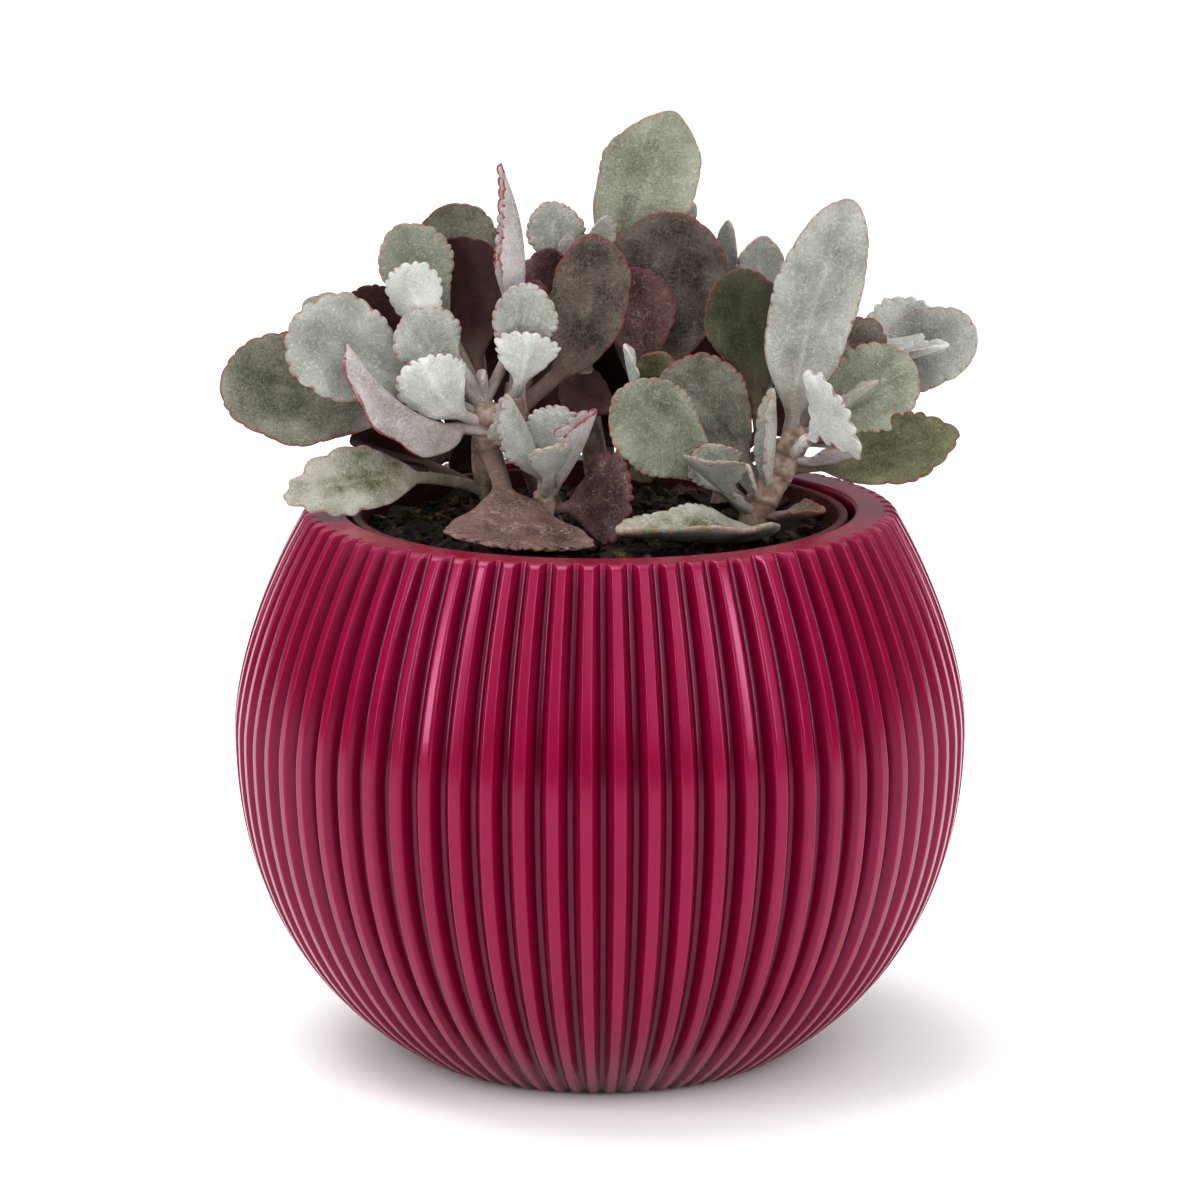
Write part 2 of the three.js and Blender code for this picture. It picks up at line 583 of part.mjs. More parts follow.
        radii: [3.4, 2.7],
      },
    ],
    leaves: [
      leaf(112, [26.7, 6, 155.4], [1, 2, 0], [0, -0.98, 0.2], 16, 5, 0.35, { blunt: 0.55 }),
      leaf(121, [49, -4, 170.2], [-2.3, 0, 0], [-0.15, -0.95, 0.2], 17.6, 8, 0.12, {
        neck: 1.5,
        widest: 0.53,
        blunt: 0.58,
      }),
      leaf(112, [12, -4, 136], [2, 1, 1], [0.1, -0.9, 0.4], 20, 5, 0.2, { blunt: 0.6 }),
      leaf(108, [3, -14, 134], [0, 0, 0], [-0.1, -0.85, 0.5], 18, 5, 0.25, { blunt: 0.6 }),
      leaf(109, [19.8, -20, 122], [0, 0, -1.5], [0.35, 0.5, 0.78], 15.5, 12, 0.2, { widest: 0.85 }),
      leaf(109, [21, -11, 123.5], [-2, 0, 0], [0, -0.9, 0.45], 11, 10, 0.25, { blunt: 0.6 }),
      leaf(110, [28.5, -11, 119.5], [0, 0, 0], [-0.8, -0.6, 0], 6, 30, 0.15),
      leaf(112, [33.5, -9, 134.2], [1, -1, 0], [-0.9, -0.4, 0], 8, 60, 0.05, { widest: 0.5, blunt: 0.5 }),
      leaf(119, [47, -17, 132.3], [0, 0, 0], [0.74, 0.67, 0.1], 21, -8, 0.1, { widest: 0.85 }),
      leaf(120, [49.6, -14, 123.4], [0, 0, -1.8], [0, 0.5, 0.85], 7, 10, 0.2),
      leaf(119.5, [61, -1, 138.6], [0, 1, 0], [0, -0.95, 0.3], 17.5, 6, 0.2, { blunt: 0.6 }),
      leaf(123, [54.3, -7, 135.3], [0, 0, 0], [-0.73, 0, 0.68], 5, 50, 0.1),
      leaf(122, [54.6, 8, 144.8], [0, 2, 0], [0, -0.9, 0.4], 13, 5, 0.25),
      leaf(122, [48, 4, 141.5], [0, 0, 0], [0, -0.95, 0.3], 10, 5, 0.25, { blunt: 0.6 }),
      leaf(117.5, [70, -7, 125.2], [0, 0, -1.3], [0, -0.85, 0.5], 14.4, 5, 0.2, { widest: 0.54 }),
      leaf(106.5, [3, -31, 110.3], [9, -3, -1.5], [0, -0.1, 1], 18, 26, 0.12, { widest: 0.5, blunt: 0.5 }),
      leaf(109.5, [43.6, -16, 111.4], [0, 0, -1.5], [0, -0.3, 0.95], 7, 45, 0.1),
    ],
  },
  shoot_back_right: {
    stems: [
      { path: [[22, 20, 93], [25, 22, 106], [29, 26, 126], [31, 24, 134]], radii: [2.8, 2] },
    ],
    leaves: [
      leaf(130, [25.6, 22, 163], [-1.5, 0, 0], [-0.5, -0.8, 0.3], 5.4, 10, 0.4),
      leaf(132, [32.5, 15, 160.8], [0, 0, 0], [0, -0.95, 0.3], 11, 20, 0.3),
      leaf(128, [66.3, 11, 146], [0, 0, 0], [0, -0.9, 0.4], 12, 15, 0.5),
      leaf(126, [74.1, 5, 143], [0, 0, -1.2], [0, -0.9, 0.4], 16.6, 8, 0.45, { blunt: 0.45 }),
      leaf([55, 13.5, 134.8], [68.4, 1, 141], [0, 0, 0], [-0.64, 0, 0.77], 5, 50, 0.1),
      leaf(124, [60, 44, 127], [0, 0, 4], [0.3, 0.2, 0.9], 20, 8, 0.25),
      leaf(125, [44, 60, 130], [0, 0, 4], [0.1, 0.3, 0.95], 20, 8, 0.25),
      leaf(128, [40, 38, 146], [0, 0, 2], [0.2, 0.8, 0.5], 15, 8, 0.25),
      leaf(112, [50, 36, 114], [0, 0, 3], [0.2, 0.1, 0.95], 15, 8, 0.3),
      leaf(113, [13, 15, 127], [0, 3, 2], [0.2, -0.8, 0.6], 19, 6, 0.2, { blunt: 0.5 }),
      leaf(114, [46, 24, 126], [0, 2, 2], [0, -0.8, 0.6], 16, 6, 0.25, { blunt: 0.5 }),
      leaf(114, [30, 62, 121], [0, 0, 3], [0, 0.4, 0.9], 18, 8, 0.3),
      leaf(118, [20, 21, 143], [0, 1, 0], [0, -0.95, 0.3], 15, 6, 0.2, { blunt: 0.5 }),
    ],
  },
  shoot_back_left: {
    stems: [{ path: [[-18, 22, 93], [-20, 25, 106], [-24, 29, 123]], radii: [2.8, 2] }],
    leaves: [
      leaf(120, [-58, 47, 127], [0, 0, 4], [-0.3, 0.3, 0.9], 22, 8, 0.25),
      leaf(121, [-40, 62, 131], [0, 0, 4], [-0.1, 0.4, 0.9], 20, 8, 0.25),
      leaf(121, [-29, 40, 150], [0, 1, 0], [-0.1, 0.9, 0.3], 16, 8, 0.25),
      leaf(110, [-45, 36, 112], [0, 0, 3], [-0.1, 0.1, 0.95], 14, 8, 0.3),
      leaf(112, [-46, 20, 117], [0, 0, 3], [0, -0.8, 0.6], 18, 6, 0.2, { blunt: 0.5 }),
      leaf(118, [-7.5, 18, 136], [0, 2.5, 1], [-0.1, -0.85, 0.5], 20, 6, 0.2, { blunt: 0.5 }),
      leaf(114, [-18, 60, 118], [0, 0, 3], [0, 0.4, 0.9], 18, 8, 0.3),
      leaf(120, [-46, 38, 140], [0, 0, 2], [-0.4, 0.6, 0.6], 14, 8, 0.3),
      leaf(108, [-31, 14, 126], [0, 2, 1], [0, -0.8, 0.6], 15, 6, 0.2, { blunt: 0.5 }),
    ],
  },
  shoot_back: {
    stems: [{ path: [[2, 28, 93], [1, 31, 108], [0, 33, 127]], radii: [2.8, 2] }],
    leaves: [
      leaf(123, [-8, 66, 129], [0, 0, 4], [0, 0.4, 0.9], 20, 8, 0.25),
      leaf(112, [3, 23, 140], [0, 1, 0], [0, -0.95, 0.3], 20, 6, 0.12, { blunt: 0.5 }),
      leaf(125, [-11, 44, 147], [0, 1, 0], [-0.1, 0.9, 0.35], 15, 8, 0.25),
      leaf(125, [4, 46, 150], [0, 1, 0], [0.1, 0.9, 0.35], 14, 8, 0.25),
      leaf(116, [12, 62, 118], [0, 0, 3], [0.1, 0.3, 0.95], 16, 8, 0.3),
      leaf(110, [-6, 58, 112], [0, 0, 3], [0, 0.3, 0.95], 15, 8, 0.3),
    ],
  },
};

// A shoot: its stems and leaves grown together in one solid.
function shoot({ stems, leaves }) {
  let grown = stems.map(stemSolid).reduce((whole, stem) => whole.add(stem));
  for (const one of leaves) {
    const root = Array.isArray(one.root) ? point(one.root) : onStem(stems[one.stem], one.root);
    grown = grown.add(leafSolid(root, one));
  }
  return grown;
}

const FINISHES = {
  planter: { color: 0x8e0f4a, roughness: 0.25, metalness: 0 },
  nursery: { color: 0x6a2c26, roughness: 0.5, metalness: 0 },
  soil: { color: 0x2e231b, roughness: 0.95, metalness: 0 },
  leaf: { color: 0xa3aa9a, roughness: 0.8, metalness: 0 },
};

function mesh(name, solid, finish) {
  const made = new THREE.Mesh(geometryOf(solid), new THREE.MeshStandardMaterial(finish));
  made.name = name;
  return made;
}

const plant = new THREE.Group();
plant.add(mesh("planter", planter(), FINISHES.planter));
plant.add(mesh("nursery_pot", nurseryPot(), FINISHES.nursery));
plant.add(mesh("soil", soil(Object.values(SHOOTS).map(({ stems }) => stems[0])), FINISHES.soil));
for (const [name, parts] of Object.entries(SHOOTS)) {
  plant.add(mesh(name, shoot(parts), FINISHES.leaf));
}

export default plant;
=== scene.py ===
"""Potted flower dust plant: a frosted, toothed succulent in a ribbed ball planter.

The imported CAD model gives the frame. Every visible piece here replaces its CAD node with a finer
one of the same form: the planter with its glazed ribs, the nursery pot, the bark mix, and eight
shoots.
Sizes are in millimetres, and become metres where a mesh is made. +Z is up and the front is -Y.
"""

from __future__ import annotations

import logging
import math
from dataclasses import dataclass
from enum import Enum

import bpy
import numpy as np
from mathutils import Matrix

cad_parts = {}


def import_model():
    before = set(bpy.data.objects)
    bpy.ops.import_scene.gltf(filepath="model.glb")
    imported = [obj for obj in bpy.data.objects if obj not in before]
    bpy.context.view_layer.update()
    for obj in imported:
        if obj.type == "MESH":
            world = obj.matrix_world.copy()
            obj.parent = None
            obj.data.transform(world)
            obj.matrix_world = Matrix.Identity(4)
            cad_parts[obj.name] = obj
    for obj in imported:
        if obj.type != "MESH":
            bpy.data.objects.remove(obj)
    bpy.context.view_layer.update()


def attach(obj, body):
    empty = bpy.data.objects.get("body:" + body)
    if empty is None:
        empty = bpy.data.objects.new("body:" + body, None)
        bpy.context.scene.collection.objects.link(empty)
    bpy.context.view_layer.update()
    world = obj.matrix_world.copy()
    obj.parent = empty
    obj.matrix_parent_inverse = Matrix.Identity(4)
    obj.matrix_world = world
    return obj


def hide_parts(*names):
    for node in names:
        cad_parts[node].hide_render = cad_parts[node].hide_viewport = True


LOG = logging.getLogger("flower_dust_plant")
MM = 0.001
Triple = tuple[float, float, float]
Colour = tuple[float, float, float]
Socket = bpy.types.NodeSocket


def srgb(red: int, green: int, blue: int) -> Colour:
    """Turns a display colour of 0 to 255 a channel into linear light."""

    def linear(channel: int) -> float:
        """One channel in linear light."""
        share = channel / 255
        return share / 12.92 if share <= 0.04045 else ((share + 0.055) / 1.055) ** 2.4

    return linear(red), linear(green), linear(blue)


def smoothstep(value: np.ndarray | float, low: float, high: float) -> np.ndarray | float:
    """Rises smoothly from 0 at low to 1 at high."""
    share = np.clip((value - low) / (high - low), 0, 1)
    return share * share * (3 - 2 * share)


def soft_ramp(value: np.ndarray, low: float, high: float, soft: float) -> np.ndarray:
    """A straight rise from 0 at low to 1 at high, with its two corners rounded.

    Args:
        value: Where the ramp is read.
        low: Where the rise starts.
        high: Where the rise ends.
        soft: Half the length of each rounded corner.

    Returns:
        The ramp's height at each value.
    """

    def hinge(x: np.ndarray) -> np.ndarray:
        """Zero below its corner and x above it, rounded between."""
        return np.where(x > soft, x, np.where(x < -soft, 0, (x + soft) ** 2 / (4 * soft)))

    return (hinge(value - low) - hinge(value - high)) / (high - low)


def rounded(past: float, radius: float) -> float:
    """How far a rounded edge has drawn in, at a distance past the start of its rounding."""
    share = max(0.0, past) / radius
    return radius * (1 - math.sqrt(max(0.0, 1 - share * share)))


@dataclass(frozen=True)
class LeafFinish:
    """Colours of one leaf: its tissue, the powder on it and its red margin.

    cover is how much powder lies on it, wear how patchy that is, scratch how many pale scratches
    it has, blush how red its margin is, and line how even that red is between the notches.
    """

    tissue: Colour
    powder: Colour
    rim: Colour
    cover: float
    wear: float = 0.8
    scratch: float = 0.0
    blush: float = 0.8
    line: float = 0.3


RUST, CRIMSON, WINE = srgb(142, 80, 62), srgb(120, 42, 42), srgb(92, 28, 36)


class Tone(Enum):
    """Finishes of a leaf by its age and place, from whitest to darkest."""

    SNOW = LeafFinish(srgb(122, 129, 116), srgb(199, 201, 194), RUST, 0.66, 0.9, 0, 0.7, 0.2)
    WORN = LeafFinish(srgb(70, 72, 44), srgb(156, 153, 143), RUST, 0.58, 2.0, 0.05, 0.7, 0.4)
    BLUSH = LeafFinish(srgb(98, 82, 78), srgb(174, 170, 167), CRIMSON, 0.58, 1.0, 0.1, 1.0, 0.9)
    FROST = LeafFinish(srgb(90, 94, 81), srgb(164, 165, 157), RUST, 0.55, 0.9, line=0.5)
    SAGE = LeafFinish(srgb(64, 69, 52), srgb(144, 146, 131), RUST, 0.5, 0.9, 0.05, 0.8, 0.6)
    GREY = LeafFinish(srgb(46, 48, 34), srgb(122, 118, 107), CRIMSON, 0.45, 1.2, 0.08, 0.9, 0.8)
    OLIVE = LeafFinish(srgb(46, 48, 22), srgb(110, 108, 82), CRIMSON, 0.38, 1.2, 0.05, 0.8, 0.6)
    MAUVE = LeafFinish(srgb(52, 31, 28), srgb(116, 90, 84), WINE, 0.38, 1.1, 1.0, 0.4, 0.5)
    DUSK = LeafFinish(srgb(36, 26, 20), srgb(113, 102, 92), CRIMSON, 0.4, 1.3, 0.2, 0.9, 0.7)
    PLUM = LeafFinish(srgb(44, 20, 20), srgb(110, 80, 77), WINE, 0.34, 1.2, 0.5, 0.9, 0.7)
    MAROON = LeafFinish(srgb(40, 12, 8), srgb(60, 35, 27), WINE, 0.2, 1.0, 0.04, 0.7, 0.6)


@dataclass(frozen=True)
class Leaf:
    """One leaf, from its root to its tip.

    The root is a level on the stem or a point. bow moves the middle of the midrib, face is where
    the upper side looks, fold is the angle by which the halves stand up, and stalk is the stalk's
    share of the length. neck is half the stalk's width. The blade is widest at the share widest, a
    smaller taper gives it a fuller base, and a smaller blunt a fuller end. tooth and pitch are the
    depth and length of its teeth in millimetres, bare the share of the blade that has none, edge
    half the thickness of its margin, and light how bright its colours are, set leaf by leaf: partly
    its own tone, and partly painted shade on leaves that lie in shadow.
    """

    root: float | Triple
    tip: Triple
    bow: Triple
    face: Triple
    width: float
    fold: float
    stalk: float
    tone: Tone = Tone.SAGE
    neck: float = 1.2
    widest: float = 0.64
    taper: float = 0.85
    blunt: float = 0.7
    stem: int = 0
    tooth: float = 0.34
    pitch: float = 2.6
    bare: float = 0.33
    edge: float = 0.35
    light: float = 1.0


@dataclass(frozen=True)
class Stem:
    """A stem's axis from its foot to its tip, and its radius at both."""

    path: tuple[Triple, ...]
    radii: tuple[float, float]


@dataclass
class Skin:
    """Points, faces and per-point values of a mesh under construction, in millimetres."""

    points: np.ndarray
    faces: list[tuple[int, ...]]
    values: dict[str, np.ndarray]
    slot: int = 0


def smooth_path(path: tuple[Triple, ...], per_span: int) -> np.ndarray:
    """Points along a smooth curve through every point of a path.

    Args:
        path: The points that the curve passes through.
        per_span: How many steps each span is split into.

    Returns:
        The curve's points, one row each.
    """
    knots = np.array(path, float)
    ends = np.vstack([2 * knots[0] - knots[1], knots, 2 * knots[-1] - knots[-2]])
    share = np.linspace(0, 1, per_span, endpoint=False)[:, None]
    spans = []
    for a, b, c, d in zip(ends, ends[1:], ends[2:], ends[3:]):
        spans.append(
            0.5
            * (
                2 * b
                + (c - a) * share
                + (2 * a - 5 * b + 4 * c - d) * share**2
                + (3 * b - a - 3 * c + d) * share**3
            )
        )
    return np.vstack([*spans, knots[-1:]])


def outward(points: np.ndarray, faces: list[tuple[int, ...]]) -> list[tuple[int, ...]]:
    """The faces of a closed skin, turned round if they point inwards."""
    volume = 0.0
    for face in faces:
        a, b, c = points[face[0]], points[face[1]], points[face[2]]
        volume += float(np.dot(a, np.cross(b, c)))
        if len(face) == 4:
            volume += float(np.dot(a, np.cross(c, points[face[3]])))
    return faces if volume > 0 else [tuple(reversed(face)) for face in faces]


def grid_faces(order: np.ndarray, closed: bool = True) -> list[tuple[int, ...]]:
    """Faces between the rows of a grid of point numbers.

    Args:
        order: The number of each point, row by row; a number that repeats makes a pole.
        closed: Whether each row closes on itself.

    Returns:
        The faces, without the ones that a pole leaves empty.
    """
    if closed:
        order = np.hstack([order, order[:, :1]])
    corners = [order[:-1, :-1], order[:-1, 1:], order[1:, 1:], order[1:, :-1]]
    quads = np.stack(corners, axis=-1).reshape(-1, 4).tolist()
    faces = (tuple(dict.fromkeys(quad)) for quad in quads)
    return [face for face in faces if len(face) > 2]


class LeafForm:
    """Builds a leaf's skin: a stalk, a domed blade with rounded teeth, and a thin rim all round.

    Depths and widths are in millimetres. Waves are given by how many there are along the leaf.
    DISH and WAVE_HEIGHT say how far the margin and the waves rise, as shares of the leaf's width.
    EVEN_LOBE is a lobe's value where a tooth neither stands out nor cuts in.
    """

    ACROSS = np.array([0, 0.1, 0.24, 0.4, 0.56, 0.7, 0.82, 0.9, 0.955, 0.988, 1.0])
    STALK_DEPTH = 1.1
    LEAD = 9
    PLAIN = 14
    ROWS_PER_TOOTH = 8
    TOOTH_LENGTHS = (0.55, 1.5)
    TOOTH_HEIGHTS = (0.5, 1.35)
    EVEN_LOBE = 0.6
    OUTLINE_WAVES = ((1.4, 0.035), (2.9, 0.025))
    BLADE_WAVES = (1.3, 2.4, 4.1)
    WAVE_HEIGHT = 0.018
    DISH = 0.035
    BLADE_DEPTH = 0.62
    GROOVE_DEPTH = 0.2
    GROOVE_WIDTH = 0.6
    MIDRIB_WIDTH = 0.45
    SHADES = (0.95, 1.05)

    def __init__(self, leaf: Leaf, root: np.ndarray, seed: int) -> None:
        """Takes a leaf, the point that it grows from, and the seed of its own waves."""
        self.leaf = leaf
        self.root = root
        self.tip = np.array(leaf.tip, float)
        self.control = (root + self.tip) / 2 + 2 * np.array(leaf.bow, float)
        self.random = np.random.default_rng(seed)
        points, _ = self.midrib(np.linspace(0, 1, 60))
        self.length = float(np.linalg.norm(np.diff(points, axis=0), axis=1).sum())

    def midrib(self, share: np.ndarray) -> tuple[np.ndarray, np.ndarray]:
        """Points and directions of the midrib at shares of its length, past its tip as well."""
        inside = np.clip(share, 0, 1)[..., None]
        rest = 1 - inside
        point = rest**2 * self.root + 2 * rest * inside * self.control + inside**2 * self.tip
        along = 2 * rest * (self.control - self.root) + 2 * inside * (self.tip - self.control)
        point = point + (share[..., None] - inside) * along
        return point, along / np.linalg.norm(along, axis=-1, keepdims=True)

    def margin(self, teeth: int) -> dict[str, np.ndarray]:
        """One side's margin, row by row from the stalk's end to the tip.

        Args:
            teeth: How many teeth it has.

        Returns:
            For each row: at, its place along the midrib in millimetres; half, its half width;
            share, its place along the blade; and lobe, 1 on a tooth or a smooth edge and 0 in a
            notch.
        """
        leaf = self.leaf
        share = np.sin(np.linspace(0, math.pi / 2, 500)) ** 1.2
        warped = share ** (math.log(0.5) / math.log(leaf.widest))
        power = np.where(warped < 0.5, leaf.taper, leaf.blunt)
        blade = leaf.width / 2 * (4 * warped * (1 - warped)) ** power
        neck = leaf.neck * (1 - smoothstep(share, 0.6, 1.0))
        half = (blade**5 + np.minimum(neck, leaf.width / 2) ** 5) ** 0.2
        for waves, size in self.OUTLINE_WAVES:
            half *= 1 + size * np.sin(2 * math.pi * (waves * share + self.random.uniform(0, 1)))
        at = (leaf.stalk + (1 - leaf.stalk) * share) * self.length
        run = np.concatenate([[0], np.cumsum(np.hypot(np.diff(at), np.diff(half)))])
        normal = np.stack([-np.gradient(half), np.gradient(at)])
        normal /= np.hypot(*normal) + 1e-9

        start = float(np.interp(leaf.bare, share, run))
        sizes = self.random.uniform(*self.TOOTH_LENGTHS, teeth)
        ends = start + (run[-1] - start) * np.concatenate([[0], np.cumsum(sizes) / sizes.sum()])
        inside = np.arange(self.ROWS_PER_TOOTH) / self.ROWS_PER_TOOTH
        arch = np.sin(math.pi * inside**1.25) ** max(0.45, 1.6 * leaf.tooth)
        high = leaf.tooth * self.random.uniform(*self.TOOTH_HEIGHTS, teeth) * sizes**0.6
        high *= min(1, leaf.width / 11) ** 2
        high *= np.minimum(1, (np.arange(teeth) + 0.7) / 2.2)
        rows = (ends[:-1, None] + np.diff(ends)[:, None] * inside).ravel()
        push = (high[:, None] * (arch - self.EVEN_LOBE)).ravel()
        plain = np.linspace(0, start, self.PLAIN, endpoint=False)
        rows = np.concatenate([plain, rows, [run[-1]]])
        push = np.concatenate([0 * plain, push, [0]])
        push *= smoothstep(rows, start - 0.5, start + 1.0)
        lobe = np.concatenate([0 * plain + 1, np.tile(arch, teeth), [self.EVEN_LOBE]])
        at, half, share = (np.interp(rows, run, values) for values in (at, half, share))
        out = [np.interp(rows, run, side) for side in normal]
        at = at + out[0] * push
        half = np.maximum(half + out[1] * push, 0)
        at[-1], half[-1] = self.length, 0
        return {"at": at, "half": half, "share": share, "lobe": lobe}

    def outline(self) -> dict[str, np.ndarray]:
        """Both margins of the leaf, row by row.

        Returns:
            For each row: at, half and lobe of its two ends as in margin, at as a share of the
            length, and foot, the share where the row meets the midrib.
        """
        leaf = self.leaf
        around = (0.95 - leaf.bare) * (1 - leaf.stalk) * self.length + 0.42 * leaf.width
        teeth = max(4, round(around / leaf.pitch))
        sides = [self.margin(teeth) for _ in range(2)]
        share = (sides[0]["share"] + sides[1]["share"]) / 2
        foot = leaf.stalk + (1 - leaf.stalk) * (share - 0.1 * share**2)
        lead = np.linspace(0, leaf.stalk, self.LEAD, endpoint=False)
        flare = min(leaf.neck, leaf.width / 2) * (1 + 0.45 * (1 - lead / 0.12).clip(0))

        def both(key: str, first: np.ndarray) -> np.ndarray:
            """A value of the two margins, after its values on the stalk."""
            return np.stack([np.concatenate([first, side[key]]) for side in sides], axis=1)

        at = both("at", lead * self.length) / self.length
        return {
            "at": at,
            "foot": np.concatenate([lead, foot]),
            "half": both("half", flare),
            "lobe": both("lobe", 0 * lead + 1),
            "share": np.concatenate([0 * lead, share]),
        }

    def faces(self, count: int, ring: int, width: int) -> list[tuple[int, ...]]:
        """Faces of the leaf's skin, sewn shut at the tip and capped at the stalk's end.

        Args:
            count: How many rows of points there are.
            ring: How many points a row has, round the upper and the lower side.
            width: How many of them are on the upper side.

        Returns:
            The faces.
        """
        order = np.arange(count * ring).reshape(count, ring)
        middle, last = width // 2, order[-1]
        last[:middle] = last[width - 1 : middle : -1]
        last[width + middle :] = last[width : width + middle - 1][::-1]
        return [*grid_faces(order), tuple(order[0].tolist())]

    def coat(self, count: int) -> dict[str, np.ndarray]:
        """The values that are the same all over the leaf, for a number of points."""
        leaf, finish = self.leaf, self.leaf.tone.value
        # leaf.light scales the colours: partly the leaf's own tone, partly painted shade on leaves
        # that lie in shadow.
        shade = leaf.light * self.random.uniform(*self.SHADES)
        ones = np.ones(count)
        return {
            "tissue": np.outer(ones, np.array(finish.tissue) * shade),
            "powder": np.outer(ones, np.array(finish.powder) * shade),
            "rim": np.outer(ones, np.array(finish.rim)),
            "cover": ones * finish.cover,
            "wear": ones * finish.wear,
            "scratch": ones * finish.scratch,
            "blush": ones * finish.blush * min(1, leaf.width / 9),
            "line": ones * finish.line,
            "own": ones * self.random.uniform(0, 50),
        }

    def skin(self) -> Skin:
        """The leaf's closed skin, with the values that its material reads."""
        leaf = self.leaf
        rows = self.outline()
        across = np.concatenate([-self.ACROSS[:0:-1], self.ACROSS])
        reach = np.abs(across)[None, :]
        pick = (across > 0).astype(int)
        foot = rows["foot"][:, None]
        at = foot + (rows["at"][:, pick] - foot) * reach
        half = rows["half"][:, pick]
        out = half * across[None, :]
        centre, along = self.midrib(at)
        face = np.array(leaf.face, float)
        up = face - (along @ face)[..., None] * along
        up /= np.linalg.norm(up, axis=-1, keepdims=True)
        side = np.cross(along, up)

        opened = math.radians(leaf.fold) * smoothstep(at, leaf.stalk * 0.6, leaf.stalk + 0.12)
        soft = 0.45 + 0.05 * leaf.width * abs(math.sin(math.radians(leaf.fold)))
        turn = out / np.sqrt(out**2 + soft**2)
        lateral = out * np.cos(opened) + (1 - np.cos(opened)) * soft * turn * 0.6
        rise = (np.sqrt(out**2 + soft**2) - soft) * np.sin(opened)
        blade = smoothstep(at, leaf.stalk, leaf.stalk + 0.25)
        inner = 1 - smoothstep(rows["share"], 0.72, 0.95)[:, None]
        rise = rise + self.DISH * leaf.width * (2 * out / leaf.width) ** 2 * blade
        for waves in self.BLADE_WAVES:
            turns, sway = self.random.uniform(0, 2 * math.pi, 2)
            swing = np.sin(2 * math.pi * waves * at + turns) * np.cos(sway + across[None, :])
            rise = rise + self.WAVE_HEIGHT * leaf.width * swing * reach**2 * blade
        rise = rise + 0.2 * (rows["lobe"][:, pick] - self.EVEN_LOBE) * reach**12 * blade
        normal = up * np.cos(opened)[..., None] - side * (turn * np.sin(opened))[..., None]

        thinning = smoothstep(at, 0.1, leaf.stalk + 0.35)
        spine = self.STALK_DEPTH + (self.BLADE_DEPTH - self.STALK_DEPTH) * thinning
        spine = np.minimum(spine, self.STALK_DEPTH * min(1, leaf.width / 7) + 0.1)
        depth = leaf.edge * (1 - reach**10) ** 0.5 + (spine - leaf.edge).clip(0) * (1 - reach**2)
        groove = self.GROOVE_DEPTH * np.exp(-((out / self.GROOVE_WIDTH) ** 2)) * blade * inner
        shape = centre + side * lateral[..., None] + up * rise[..., None]
        top = shape + normal * (depth - groove)[..., None]
        under = shape - normal * (depth + groove)[..., None]
        under = under[:, -2:0:-1]
        points = np.concatenate([top, under], axis=1)

        def whole(values: np.ndarray) -> np.ndarray:
            """A value of the upper side, repeated for the lower one."""
            return np.concatenate([values, values[:, -2:0:-1]], axis=1).ravel()

        slant = (rows["at"][:, pick] - foot) * self.length
        margin = (1 - reach) * np.hypot(half, slant) + (1 - blade) * 3
        flat = points.reshape(-1, 3)
        base = (at - 0.5 * leaf.stalk) * self.length + 2
        fan = np.arctan2(out, base.clip(1))
        lie = [whole(out) * MM, whole(at * self.length) * MM, whole(fan) * 10 * MM]
        values = {
            **self.coat(len(flat)),
            "lie": np.stack(lie, axis=1),
            "margin": whole(margin),
            "lobe": whole(rows["lobe"][:, pick]),
            "midrib": whole(np.exp(-((out / self.MIDRIB_WIDTH) ** 2)) * blade * inner),
            "stalk": whole(1 - smoothstep(at, leaf.stalk * 0.8, leaf.stalk + 0.3)),
            "under": np.tile(np.repeat([0.0, 1.0], [top.shape[1], under.shape[1]]), len(top)),
        }
        return Skin(flat, outward(flat, self.faces(*points.shape[:2], len(across))), values)


